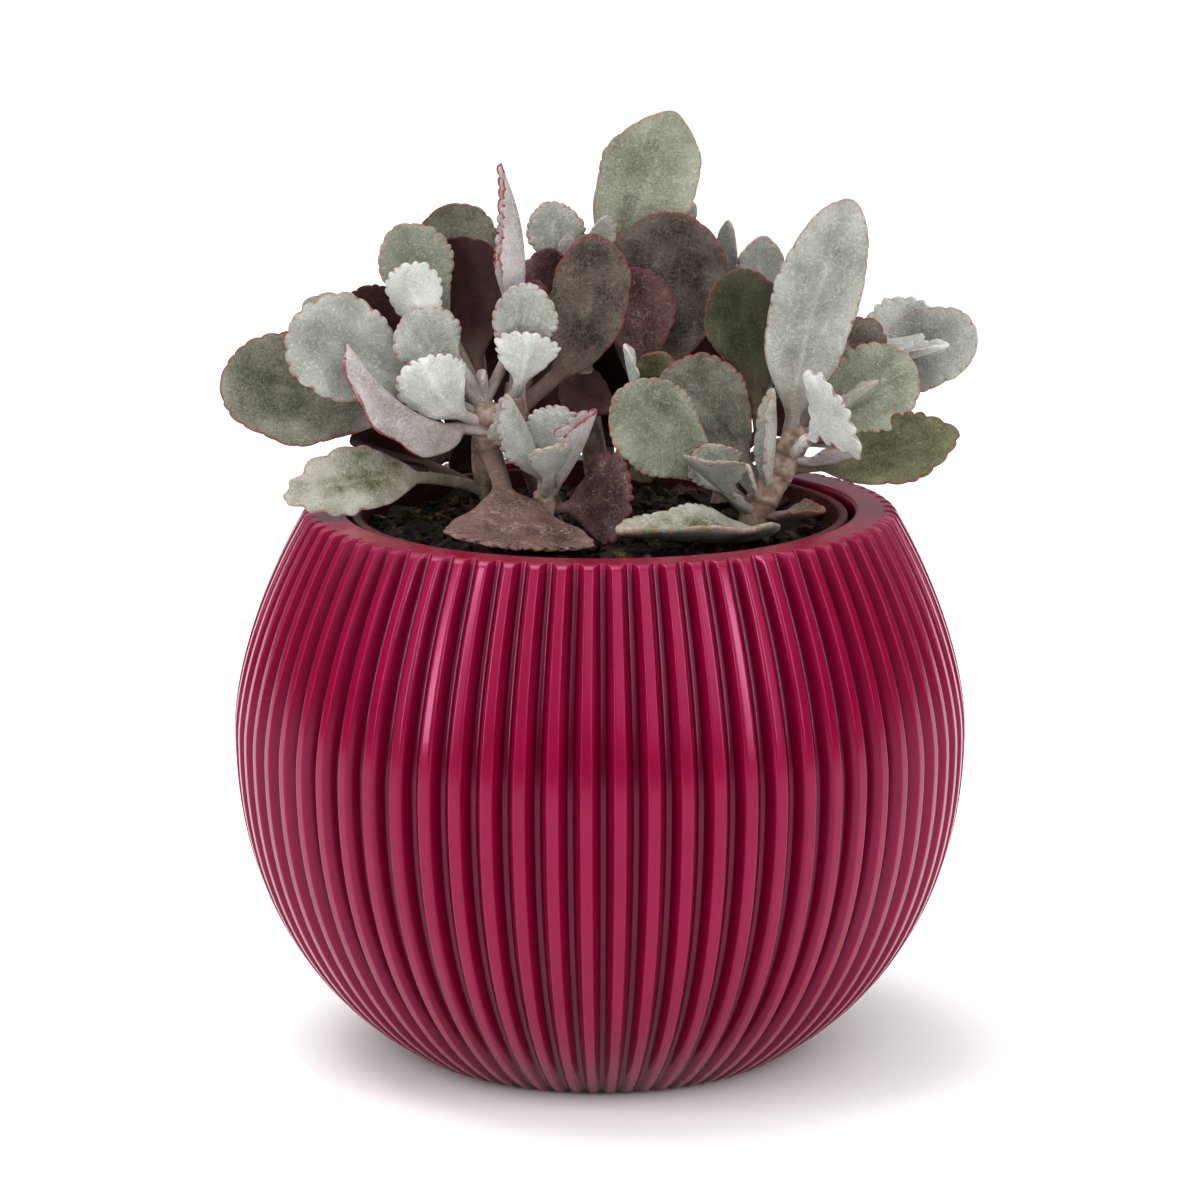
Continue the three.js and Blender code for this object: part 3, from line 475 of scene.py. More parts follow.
class StemForm:
    """Builds a stem's skin: a tapering round shoot with a swollen joint where leaves grow."""

    SIDES = 24
    PER_SPAN = 18
    APART = 4.0
    SWELLING = 0.16
    SWELLING_LENGTH = 1.8
    SCAR_LENGTH = 0.35

    def __init__(self, stem: Stem, roots: list[float]) -> None:
        """Takes a stem and the levels where leaves grow from it."""
        self.stem = stem
        self.axis = smooth_path(stem.path, self.PER_SPAN)
        self.joints: list[float] = []
        for root in sorted(roots):
            if not self.joints or root - self.joints[-1] > self.APART:
                self.joints.append(root)

    def at_level(self, level: float) -> np.ndarray:
        """The point of the axis at a level."""
        levels = self.axis[:, 2]
        return np.array([np.interp(level, levels, self.axis[:, k]) for k in range(3)])

    def skin(self) -> Skin:
        """The stem's closed skin, with the values that its material reads."""
        axis = self.axis
        share = np.linspace(0, 1, len(axis))
        radius = np.interp(share, [0, 1], self.stem.radii)
        for joint in self.joints:
            away = (axis[:, 2] - joint) / self.SWELLING_LENGTH
            radius = radius + self.SWELLING * np.exp(-(away**2))
        radius = radius * (1 - 0.85 * smoothstep(share, 0.96, 1.0))
        along = np.gradient(axis, axis=0)
        along /= np.linalg.norm(along, axis=1, keepdims=True)
        first = np.cross(along, [0.0, 1.0, 0.0])
        first /= np.linalg.norm(first, axis=1, keepdims=True)
        second = np.cross(along, first)
        angle = np.linspace(0, 2 * math.pi, self.SIDES, endpoint=False)
        ripple = 1 + 0.05 * np.sin(3 * angle)[None, :] * np.cos(7 * share)[:, None]
        ripple = ripple + 0.03 * np.sin(5 * angle + 1)[None, :] * np.sin(19 * share)[:, None]
        ring = radius[:, None] * ripple
        points = (
            axis[:, None]
            + first[:, None] * (ring * np.cos(angle))[..., None]
            + second[:, None] * (ring * np.sin(angle))[..., None]
        )
        count = len(axis)
        order = np.arange(count * self.SIDES).reshape(count, self.SIDES)
        faces = grid_faces(order)
        faces.append(tuple(reversed(order[0].tolist())))
        faces.append(tuple(order[-1].tolist()))
        flat = points.reshape(-1, 3)
        scars = np.zeros((count, self.SIDES))
        for number, level in enumerate(self.joints):
            tilt = 0.7 * np.sin(angle + 2.3 * number)[None, :]
            height = axis[:, 2][:, None] - level + 1.0 + tilt
            scars = np.maximum(scars, np.exp(-((height / self.SCAR_LENGTH) ** 2)))
        low = np.repeat(1 - smoothstep(share, 0, 0.6), self.SIDES)
        values = {"joint": scars.ravel(), "low": low}
        return Skin(flat, outward(flat, faces), values, slot=1)


COLOUR_VALUES = ("tissue", "powder", "rim")
VECTOR_VALUES = ("lie",)


def add_values(mesh: bpy.types.Mesh, skins: list[Skin], used: np.ndarray) -> None:
    """Adds the per-point values of skins to the mesh that they were joined into.

    Args:
        mesh: The mesh.
        skins: The skins; one that lacks a value gets zeros.
        used: Which of their points the mesh has.
    """
    for key in sorted({key for skin in skins for key in skin.values}):
        wide = 3 if key in COLOUR_VALUES + VECTOR_VALUES else 1
        parts = []
        for skin in skins:
            part = skin.values.get(key, np.zeros((len(skin.points), wide)))
            parts.append(part.reshape(-1, wide))
        data = np.vstack(parts)[used]
        if key in VECTOR_VALUES:
            layer = mesh.attributes.new(key, "FLOAT_VECTOR", "POINT")
            layer.data.foreach_set("vector", data.ravel())
        elif key in COLOUR_VALUES:
            layer = mesh.attributes.new(key, "FLOAT_COLOR", "POINT")
            layer.data.foreach_set("color", np.hstack([data, np.ones((len(data), 1))]).ravel())
        else:
            layer = mesh.attributes.new(key, "FLOAT", "POINT")
            layer.data.foreach_set("value", data.ravel())


def mesh_from(
    name: str, skins: list[Skin], materials: list[bpy.types.Material]
) -> bpy.types.Object:
    """Joins skins into one smooth object at the origin.

    Args:
        name: The object's name.
        skins: The skins, in millimetres.
        materials: The object's materials, which each skin's slot points into.

    Returns:
        The new object, linked to the scene.
    """
    faces: list[tuple[int, ...]] = []
    slots: list[int] = []
    start = 0
    for skin in skins:
        faces.extend(tuple(i + start for i in face) for face in skin.faces)
        slots.extend([skin.slot] * len(skin.faces))
        start += len(skin.points)
    points = np.vstack([skin.points for skin in skins])
    used = np.zeros(len(points), bool)
    used[np.fromiter((i for face in faces for i in face), int)] = True
    renumber = np.cumsum(used) - 1
    mesh = bpy.data.meshes.new(name)
    kept = [tuple(int(renumber[i]) for i in face) for face in faces]
    mesh.from_pydata((points[used] * MM).tolist(), [], kept)
    mesh.polygons.foreach_set("material_index", slots)
    mesh.polygons.foreach_set("use_smooth", [True] * len(faces))
    add_values(mesh, skins, used)
    for material in materials:
        mesh.materials.append(material)
    mesh.update()
    made = bpy.data.objects.new(name, mesh)
    bpy.context.collection.objects.link(made)
    return made


class Nodes:
    """A node tree of any kind, built by short calls."""

    def __init__(self, tree: bpy.types.NodeTree) -> None:
        """Takes the tree that the nodes go into."""
        self.tree = tree

    def set(self, node: bpy.types.Node, inputs: dict[str | int, object]) -> None:
        """Sets a node's inputs, each from a value or from another node's output."""
        for key, value in inputs.items():
            socket = node.inputs[key]
            if isinstance(value, Socket):
                self.tree.links.new(value, socket)
            elif socket.type == "RGBA" and len(value) == 3:
                socket.default_value = (*value, 1)
            else:
                socket.default_value = value

    def node(
        self, kind: str, inputs: dict[str | int, object], **settings: object
    ) -> bpy.types.Node:
        """Adds a node of a kind, with its settings and inputs."""
        made = self.tree.nodes.new(kind)
        for key, value in settings.items():
            setattr(made, key, value)
        self.set(made, inputs)
        return made

    def maths(self, operation: str, *values: object) -> Socket:
        """The result of a sum on one to three values."""
        made = self.node("ShaderNodeMath", dict(enumerate(values)), operation=operation)
        return made.outputs[0]

    def times(self, first: object, second: object) -> Socket:
        """Two values multiplied."""
        return self.maths("MULTIPLY", first, second)

    def range(
        self, value: object, low: float, high: float, to_low: float = 0, to_high: float = 1
    ) -> Socket:
        """A value's smooth place between low and high, from to_low to to_high."""
        inputs = {
            "Value": value,
            "From Min": low,
            "From Max": high,
            "To Min": to_low,
            "To Max": to_high,
        }
        made = self.node("ShaderNodeMapRange", inputs, interpolation_type="SMOOTHSTEP")
        return made.outputs["Result"]


class Graph(Nodes):
    """A material's node tree."""

    def __init__(self, name: str) -> None:
        """Starts a material with an empty Principled surface."""
        self.material = bpy.data.materials.new(name)
        self.material.use_nodes = True
        super().__init__(self.material.node_tree)
        self.surface = self.tree.nodes["Principled BSDF"]

    def place(self) -> Socket:
        """The point's place on the object, in metres."""
        return self.node("ShaderNodeTexCoord", {}).outputs["Object"]

    def value(self, name: str) -> Socket:
        """A per-point value of the mesh."""
        return self.node("ShaderNodeAttribute", {}, attribute_name=name).outputs["Fac"]

    def colour(self, name: str) -> Socket:
        """A per-point colour of the mesh."""
        return self.node("ShaderNodeAttribute", {}, attribute_name=name).outputs["Color"]

    def vector(self, name: str, stretch: Triple = (1, 1, 1)) -> Socket:
        """A per-point vector of the mesh, stretched along its axes."""
        given = self.node("ShaderNodeAttribute", {}, attribute_name=name).outputs["Vector"]
        scaled = self.node("ShaderNodeVectorMath", {0: given, 1: stretch}, operation="MULTIPLY")
        return scaled.outputs[0]

    def noise(
        self,
        size: float,
        detail: float = 3,
        seed: object = 0.0,
        place: object = None,
        curl: float = 0.0,
    ) -> Socket:
        """Clouds of a size in millimetres, with their own seed, place and curl."""
        inputs = {
            "Vector": self.place() if place is None else place,
            "W": seed,
            "Scale": 1000 / size,
            "Detail": detail,
            "Distortion": curl,
        }
        return self.node("ShaderNodeTexNoise", inputs, noise_dimensions="4D").outputs["Fac"]

    def mix(self, share: object, first: object, second: object) -> Socket:
        """Two colours mixed by a share."""
        made = self.node("ShaderNodeMix", {"Factor": share}, data_type="RGBA")
        self.set(made, {6: first, 7: second})
        return made.outputs[2]

    def bump(self, height: object, depth: float, under: object = None) -> Socket:
        """A relief of a depth in millimetres, over an earlier one."""
        inputs = {"Height": height, "Distance": depth * MM, "Strength": 1.0}
        if under is not None:
            inputs["Normal"] = under
        return self.node("ShaderNodeBump", inputs).outputs["Normal"]

    def finish(
        self, colour: Socket, relief: Socket, roughness: float, specular: float = 0.5
    ) -> bpy.types.Material:
        """Sets the surface's colour, normal, roughness and mirroring, and gives the material."""
        inputs = {"Base Color": colour, "Normal": relief, "Roughness": roughness}
        self.set(self.surface, {**inputs, "Specular IOR Level": specular})
        return self.material


@dataclass(frozen=True)
class PowderedLeaf:
    """The leaf's finish: tissue under a worn white powder, with a dashed red margin."""

    stalk: Colour = srgb(118, 96, 86)
    mark: Colour = srgb(158, 144, 136)
    edge_out: float = 0.55
    patch: float = 6.0
    grain: float = 0.5
    roughness: float = 0.68
    specular: float = 0.2

    def cover(
        self, graph: Graph, own: Socket, curls: Socket
    ) -> Socket:
        """How much powder lies on each point, in clouds, a fine curled grain and faint veins."""
        wear, margin = graph.value("wear"), graph.value("margin")
        clouds = graph.maths("SUBTRACT", graph.noise(self.patch, 3, own), 0.5)
        veins = graph.noise(1.3, 1, own, graph.vector("lie", (0.05, 0.05, 1)))
        layers = (
            (graph.times(clouds, wear), 1.25),
            (graph.maths("SUBTRACT", graph.noise(self.grain, 2, own, curl=1.2), 0.5), 1.0),
            (curls, 0.32),
            (graph.range(veins, 0.42, 0.66), 0.14),
            (graph.value("midrib"), 0.2),
            (graph.times(graph.range(margin, 0.5, 6.0), wear), -0.18),
            (graph.value("under"), 0.12),
        )
        total = graph.value("cover")
        for layer, share in layers:
            total = graph.maths("MULTIPLY_ADD", layer, share, total)
        return graph.node("ShaderNodeClamp", {"Value": total}).outputs[0]

    def redness(self, graph: Graph, own: Socket) -> Socket:
        """How red each point is: a thin broken line along the margin, stronger in each notch."""
        ragged = graph.maths("SUBTRACT", graph.noise(1.8, 2, own), 0.5)
        margin = graph.maths("MULTIPLY_ADD", ragged, 0.7, graph.value("margin"))
        near = graph.range(margin, self.edge_out * 0.5, self.edge_out, 1, 0)
        notch = graph.range(graph.value("lobe"), 0.3, 0.9, 1, 0)
        broken = graph.range(graph.noise(2.6, 1, own), 0.34, 0.5, 0.2, 1)
        notch = graph.times(notch, broken)
        dashes = graph.range(graph.noise(4, 2, own), 0.36, 0.54)
        line = graph.times(graph.value("line"), dashes)
        red = graph.times(graph.maths("MAXIMUM", notch, line), near)
        return graph.times(red, graph.value("blush"))

    def material(self) -> bpy.types.Material:
        """Builds the material, which reads the values that each leaf's mesh carries."""
        graph = Graph("powdered_leaf")
        own = graph.value("own")
        ridge = graph.maths("SUBTRACT", graph.noise(1.5, 1, own, curl=1.5), 0.5)
        curls = graph.range(graph.maths("ABSOLUTE", ridge), 0.0, 0.06, 1, 0)
        cover = self.cover(graph, own, curls)
        skin = graph.mix(cover, graph.colour("tissue"), graph.colour("powder"))
        marks = graph.maths("SUBTRACT", graph.noise(2.6, 2, own, curl=1.4), 0.5)
        marks = graph.range(graph.maths("ABSOLUTE", marks), 0.0, 0.022, 1, 0)
        marks = graph.times(marks, graph.range(graph.noise(3.5, 2, own), 0.44, 0.6))
        marks = graph.times(marks, graph.value("scratch"))
        skin = graph.mix(graph.times(marks, 0.7), skin, self.mark)
        stalk = graph.times(graph.value("stalk"), 0.5)
        skin = graph.mix(stalk, skin, self.stalk)
        pale = graph.range(graph.value("margin"), 0.05, 0.4, 0.3, 0)
        skin = graph.mix(pale, skin, graph.colour("powder"))
        skin = graph.mix(self.redness(graph, own), skin, graph.colour("rim"))
        relief = graph.bump(graph.noise(2.6, 3, own), 0.3)
        relief = graph.bump(curls, 0.06, relief)
        relief = graph.bump(graph.noise(0.6, 2, own, curl=1.0), 0.1, relief)
        return graph.finish(skin, relief, self.roughness, self.specular)


@dataclass(frozen=True)
class WoodyStem:
    """The stem's finish: pink-beige bark with powder on it and a leaf scar at each joint."""

    bark: Colour = srgb(108, 84, 72)
    powder: Colour = srgb(150, 132, 119)
    moss: Colour = srgb(76, 72, 54)
    scar: Colour = srgb(70, 42, 31)
    roughness: float = 0.68

    def material(self) -> bpy.types.Material:
        """Builds the material."""
        graph = Graph("woody_stem")
        dusty = graph.range(graph.noise(2.8, 4, curl=0.6), 0.38, 0.62)
        skin = graph.mix(dusty, self.bark, self.powder)
        old = graph.times(graph.value("low"), graph.range(graph.noise(3.5, 3), 0.4, 0.6))
        skin = graph.mix(graph.times(old, 0.8), skin, self.moss)
        skin = graph.mix(graph.range(graph.noise(0.55, 3), 0.57, 0.7, 0, 0.6), skin, self.scar)
        skin = graph.mix(graph.times(graph.value("joint"), 0.75), skin, self.scar)
        relief = graph.bump(graph.noise(0.9, 4, curl=0.5), 0.22)
        relief = graph.bump(graph.value("joint"), 0.12, relief)
        return graph.finish(skin, relief, self.roughness)


@dataclass(frozen=True)
class GlossyGlaze:
    """The planter's finish: deep crimson under a satin gloss that shines pink, with painted shade
    darkening it down in the grooves.
    """

    body: Colour = srgb(119, 0, 42)
    deep: Colour = srgb(100, 0, 30)
    # groove is the colour of the painted shade down in the grooves.
    groove: Colour = srgb(72, 0, 18)
    shine: Colour = (1.0, 0.3, 0.62)
    roughness: float = 0.22
    specular: float = 0.5
    coat: float = 0.05
    coat_roughness: float = 0.08

    def material(self) -> bpy.types.Material:
        """Builds the material."""
        graph = Graph("crimson_glaze")
        clouds = graph.range(graph.noise(14.0, 3), 0.35, 0.65)
        body = graph.mix(graph.times(clouds, 0.4), self.body, self.deep)
        # Painted shade: darker towards the floor of each groove, read from the groove value.
        body = graph.mix(graph.value("groove"), body, self.groove)
        relief = graph.bump(graph.noise(5.0, 2), 0.03)
        relief = graph.bump(graph.noise(0.5, 2), 0.004, relief)
        coat = {"Coat Weight": self.coat, "Coat Roughness": self.coat_roughness}
        graph.set(graph.surface, {**coat, "Specular Tint": self.shine})
        return graph.finish(body, relief, self.roughness, self.specular)


@dataclass(frozen=True)
class NurseryPlastic:
    """The nursery pot's finish: thin dark red plastic with dust on it."""

    plastic: Colour = srgb(66, 20, 18)
    dust: Colour = srgb(96, 64, 54)
    roughness: float = 0.55
    specular: float = 0.25

    def material(self) -> bpy.types.Material:
        """Builds the material."""
        graph = Graph("nursery_plastic")
        dusty = graph.range(graph.noise(3.0, 4), 0.52, 0.75, 0, 0.4)
        body = graph.mix(dusty, self.plastic, self.dust)
        relief = graph.bump(graph.noise(0.7, 2), 0.03)
        return graph.finish(body, relief, self.roughness, self.specular)


@dataclass(frozen=True)
class BarkMix:
    """A finish of the growing mix: damp peat, bark or dry fibre."""

    name: str
    dark: Colour
    light: Colour
    grain: float
    relief: float
    share: float = 0.5
    roughness: float = 0.86
    specular: float = 0.15

    def material(self) -> bpy.types.Material:
        """Builds the material."""
        graph = Graph(self.name)
        streaks = graph.range(graph.noise(self.grain, 5, curl=1.5), 0.42, 0.62)
        low = 0.62 - self.share * 0.4
        lumps = graph.range(graph.noise(self.grain * 7, 2), low, low + 0.24)
        body = graph.mix(graph.times(streaks, lumps), self.dark, self.light)
        relief = graph.bump(graph.noise(self.grain * 1.4, 5, curl=2.0), self.relief)
        return graph.finish(body, relief, self.roughness, self.specular)


class GeometryTree(Nodes):
    """A Geometry Nodes tree with named inputs."""

    def __init__(self, name: str) -> None:
        """Starts a tree that takes a geometry and a material, and gives a geometry."""
        super().__init__(bpy.data.node_groups.new(name, "GeometryNodeTree"))
        face = self.tree.interface
        face.new_socket("Geometry", in_out="INPUT", socket_type="NodeSocketGeometry")
        face.new_socket("Geometry", in_out="OUTPUT", socket_type="NodeSocketGeometry")
        face.new_socket("Material", in_out="INPUT", socket_type="NodeSocketMaterial")
        self.given = self.tree.nodes.new("NodeGroupInput")
        self.result = self.tree.nodes.new("NodeGroupOutput")

    def ask(self, name: str, kind: str) -> Socket:
        """Adds a named input and gives its socket inside the tree."""
        self.tree.interface.new_socket(name, in_out="INPUT", socket_type=kind)
        return self.given.outputs[name]

    def finish(self, geometry: Socket, smooth: bool = True) -> None:
        """Realizes what was made, shades it, gives it the material and sends it out."""
        real = self.node("GeometryNodeRealizeInstances", {"Geometry": geometry})
        inputs = {"Geometry": real.outputs[0], "Distance": 1e-6}
        joined = self.node("GeometryNodeMergeByDistance", inputs)
        inputs = {"Geometry": joined.outputs[0], "Shade Smooth": smooth}
        shaded = self.node("GeometryNodeSetShadeSmooth", inputs)
        inputs = {"Geometry": shaded.outputs[0], "Material": self.given.outputs["Material"]}
        dressed = self.node("GeometryNodeSetMaterial", inputs)
        self.tree.links.new(dressed.outputs[0], self.result.inputs[0])

    def apply(self, host: bpy.types.Object, values: dict[str, object]) -> None:
        """Runs the tree on an object and keeps the result as its plain mesh.

        Args:
            host: The object whose mesh goes in and whose mesh is replaced.
            values: The tree's inputs by name.
        """
        modifier = host.modifiers.new(self.tree.name, "NODES")
        modifier.node_group = self.tree
        for item in self.tree.interface.items_tree:
            if item.in_out == "INPUT" and item.name in values:
                modifier[item.identifier] = values[item.name]
        host.update_tag()
        depsgraph = bpy.context.evaluated_depsgraph_get()
        made = bpy.data.meshes.new_from_object(host.evaluated_get(depsgraph))
        host.modifiers.remove(modifier)
        host.data = made
        made.name = host.name


@dataclass
class Planter:
    """The ball planter: flat-topped ribs with deep grooves between, a flat lip and a flat foot.

    upper and lower are the reach and the power of the outline's two halves. crest_end and
    floor_start are where a groove's side starts and ends, as shares of a rib's width, and corner
    rounds both ends. first_crest is the angle of a crest in degrees. The grooves reach their full
    depth at lip_fade below the lip and foot_fade above the foot. across holds the places of the
    section's points in half a rib, and inner_levels those of the rows inside.
    """

    widest_radius: float = 72.5
    widest_level: float = 66
    height: float = 109
    upper: tuple[float, float] = (89, 1.63)
    lower: tuple[float, float] = (74.4, 2.19)
    ribs: int = 72
    first_crest: float = -2
    crest_end: float = 0.165
    floor_start: float = 0.405
    corner: float = 0.035
    depth: float = 2.7
    depth_at_lip: float = 2.2
    depth_at_foot: float = 1.2
    lip_round: float = 1.1
    foot_round: float = 1.2
    lip_fade: float = 8
    foot_fade: float = 16
    foot_edge: float = 2
    side_start: float = 4
    side_rows: int = 40
    lip_rows: int = 6
    across: tuple[float, ...] = (0, 0.09, 0.13, 0.155, 0.18, 0.21, 0.3, 0.37, 0.4, 0.43, 0.5)
    inner_levels: tuple[float, ...] = (90, 66, 38, 14)
    mouth_radius: float = 50.2
    mouth_round: float = 0.6
    lip_height: float = 5
    wall: float = 4
    floor: float = 5

    def radius(self, level: np.ndarray) -> np.ndarray:
        """The radius over the rib crests at each level."""
        rise = level - self.widest_level
        reach = np.where(rise > 0, self.upper[0], self.lower[0])
        power = np.where(rise > 0, self.upper[1], self.lower[1])
        return self.widest_radius * (1 - (np.abs(rise) / reach) ** power) ** (1 / power)

    def groove_depth(self, level: float) -> float:
        """The depth of the grooves at a level, less near the lip and near the foot."""
        near_lip = smoothstep(self.height - level, 0, self.lip_fade)
        near_foot = smoothstep(level, 0, self.foot_fade)
        deep = self.depth_at_lip + (self.depth - self.depth_at_lip) * near_lip
        return self.depth_at_foot + (deep - self.depth_at_foot) * near_foot

    def gore(self) -> Skin:
        """One rib's slice of the planter, from the middle of one groove to the next."""
        half = np.array(self.across)
        across = np.concatenate([-half[:0:-1], half])
        inset = soft_ramp(np.abs(across), self.crest_end, self.floor_start, self.corner)
        angle = np.radians(self.first_crest + across * 360 / self.ribs)
        rows: list[tuple[np.ndarray, np.ndarray]] = []
        groove_shade: list[np.ndarray] = []

        def flat(radius: float, level: float) -> None:
            """Adds a plain row."""
            rows.append((np.full(len(across), radius), np.full(len(across), level)))
            groove_shade.append(0 * across)

        foot = float(self.radius(np.array(0.0))) - self.foot_edge
        for share in (0.0, 0.5, 0.9):
            flat(share * foot, 0)
        top = self.height - self.lip_round
        side = np.linspace(self.side_start, top, self.side_rows)
        bend = np.sin(np.linspace(0.3, math.pi / 2, self.lip_rows))
        lip = self.height - self.lip_round * (1 - bend)
        levels = np.concatenate([[0, 0.5, self.foot_round, 2.2], side, lip])
        for level in levels:
            at_lip = rounded(level - top, self.lip_round)
            at_foot = rounded(self.foot_round - level, self.foot_round)
            cut = np.maximum(self.groove_depth(level) * inset, max(at_lip, at_foot))
            rows.append((self.radius(np.array(level)) - cut, np.full(len(across), level)))
            # groove_shade holds how deep in a groove each point lies, which the glaze reads as
            # painted shade.
            groove_shade.append(inset * smoothstep(self.height - level, 0, 1.5))
        rim = rows[-1][0]
        for share in (0.12, 0.4, 0.7, 0.94, 1.0):
            radius = rim + (self.mouth_radius + self.mouth_round - rim) * share
            rows.append((radius, np.full(len(across), self.height)))
            groove_shade.append(0 * across)
        for out, down in ((0.25, 0.12), (0, 0.5), (0, self.lip_height - 1)):
            flat(self.mouth_radius + out, self.height - down)
        for level in (self.height - self.lip_height, *self.inner_levels, self.floor):
            flat(float(self.radius(np.array(level))) - self.depth - self.wall, level)
        flat(0, self.floor)

        radii = np.array([r for r, _ in rows])
        levels_at = np.array([z for _, z in rows])
        points = np.stack([radii * np.sin(angle), -radii * np.cos(angle), levels_at], axis=-1)
        count, width = radii.shape
        order = np.arange(count * width).reshape(count, width)
        order[0] = order[0, 0]
        order[-1] = order[-1, 0]
        # The groove value carries the painted shade of the grooves.
        values = {"groove": np.concatenate(groove_shade)}
        return Skin(points.reshape(-1, 3), grid_faces(order, closed=False), values)

    def tree(self) -> GeometryTree:
        """A tree that turns copies of a gore round the axis and joins them."""
        tree = GeometryTree("rib_ring")
        count = tree.ask("Ribs", "NodeSocketInt")
        spots = tree.node("GeometryNodePoints", {"Count": count})
        turn = tree.maths("DIVIDE", 2 * math.pi, count)
        index = tree.node("GeometryNodeInputIndex", {})
        angle = tree.times(turn, index.outputs[0])
        spin = tree.node("ShaderNodeCombineXYZ", {"Z": angle})
        inputs = {
            "Points": spots.outputs[0],
            "Instance": tree.given.outputs["Geometry"],
            "Rotation": spin.outputs[0],
        }
        tree.finish(tree.node("GeometryNodeInstanceOnPoints", inputs).outputs[0])
        return tree

    def build(self) -> list[bpy.types.Object]:
        """Makes the planter and dresses it in glaze."""
        piece = mesh_from("planter_shell", [self.gore()], [])
        material = GlossyGlaze().material()
        self.tree().apply(piece, {"Ribs": self.ribs, "Material": material})
        return [dress(piece, "planter")]


@dataclass
class NurseryPot:
    """The nursery pot: thin, tapered, with a band round its rim and drain holes in its floor."""

    floor_level: float = 5.3
    rim_level: float = 108.2
    foot_radius: float = 36
    body_radius: float = 47.6
    rim_radius: float = 48.9
    band: float = 8
    wall: float = 1
    drains: int = 4
    drain_radius: float = 4
    drain_circle: float = 24
    sides: int = 144

    def profile(self) -> list[tuple[float, float]]:
        """Radius and level round the wall's section, from the axis outside to the axis inside."""
        band_foot = self.rim_level - self.band
        rim, top = self.rim_radius, self.rim_level
        return [
            (0, self.floor_level),
            (self.foot_radius - 0.6, self.floor_level),
            (self.foot_radius, self.floor_level + 0.6),
            (self.body_radius, band_foot),
            (rim - 0.3, band_foot + 1.2),
            (rim, band_foot + 1.6),
            (rim, top - 0.7),
            (rim - 0.2, top - 0.2),
            (rim - 0.6, top),
            (rim - 1.4, top),
            (rim - 1.8, top - 0.2),
            (rim - 2, top - 0.8),
            (self.body_radius - self.wall, band_foot),
            (self.foot_radius - self.wall, self.floor_level + self.wall + 0.5),
            (self.foot_radius - self.wall - 0.6, self.floor_level + self.wall),
            (0, self.floor_level + self.wall),
        ]

    def shell(self) -> Skin:
        """The pot's wall as a turned skin."""
        profile = np.array(self.profile())
        angle = np.linspace(0, 2 * math.pi, self.sides, endpoint=False)
        radius = profile[:, :1]
        level = np.repeat(profile[:, 1:], self.sides, axis=1)
        points = np.stack([radius * np.cos(angle), radius * np.sin(angle), level], axis=-1)
        order = np.arange(len(profile) * self.sides).reshape(len(profile), self.sides)
        order[0] = order[0, 0]
        order[-1] = order[-1, 0]
        flat = points.reshape(-1, 3)
        return Skin(flat, outward(flat, grid_faces(order)), {})

    def tree(self) -> GeometryTree:
        """A tree that cuts a ring of round holes through the floor."""
        tree = GeometryTree("drain_ring")
        count = tree.ask("Drains", "NodeSocketInt")
        circle = tree.ask("Circle", "NodeSocketFloat")
        radius = tree.ask("Drain radius", "NodeSocketFloat")
        level = tree.ask("Floor level", "NodeSocketFloat")
        ring = tree.node(
            "GeometryNodeMeshCircle", {"Vertices": count, "Radius": circle}, fill_type="NONE"
        )
        lift = tree.node("ShaderNodeCombineXYZ", {"Z": level})
        inputs = {"Geometry": ring.outputs[0], "Offset": lift.outputs[0]}
        spots = tree.node("GeometryNodeSetPosition", inputs)
        inputs = {"Vertices": 32, "Radius": radius, "Depth": 0.006}
        drill = tree.node("GeometryNodeMeshCylinder", inputs)
        inputs = {"Points": spots.outputs[0], "Instance": drill.outputs[0]}
        drills = tree.node("GeometryNodeInstanceOnPoints", inputs)
        solid = tree.node("GeometryNodeRealizeInstances", {0: drills.outputs[0]})
        inputs = {"Mesh 1": tree.given.outputs["Geometry"], "Mesh 2": solid.outputs[0]}
        cut = tree.node("GeometryNodeMeshBoolean", inputs, operation="DIFFERENCE", solver="EXACT")
        tree.finish(cut.outputs[0])
        return tree

    def build(self) -> list[bpy.types.Object]:
        """Makes the pot and dresses it in plastic."""
        piece = mesh_from("nursery_shell", [self.shell()], [])
        values = {
            "Material": NurseryPlastic().material(),
            "Drains": self.drains,
            "Circle": self.drain_circle * MM,
            "Drain radius": self.drain_radius * MM,
            "Floor level": (self.floor_level + self.wall / 2) * MM,
        }
        self.tree().apply(piece, values)
        piece.data.set_sharp_from_angle(angle=math.radians(40))
        return [dress(piece, "nursery_pot")]


@dataclass(frozen=True)
class Bits:
    """A layer of loose bits on the bed of the growing mix.

    size is a bit's length, width and thickness in millimetres, density how many lie on a square
    metre, seed the seed of their places, and tilt the most that one leans, in radians. rough is how
    far its corners are pushed about, and smooth whether it is shaded round.
    """

    name: str
    size: Triple
    density: float
    seed: int
    tilt: float
    finish: BarkMix
    rough: float = 0.5
    smooth: bool = True


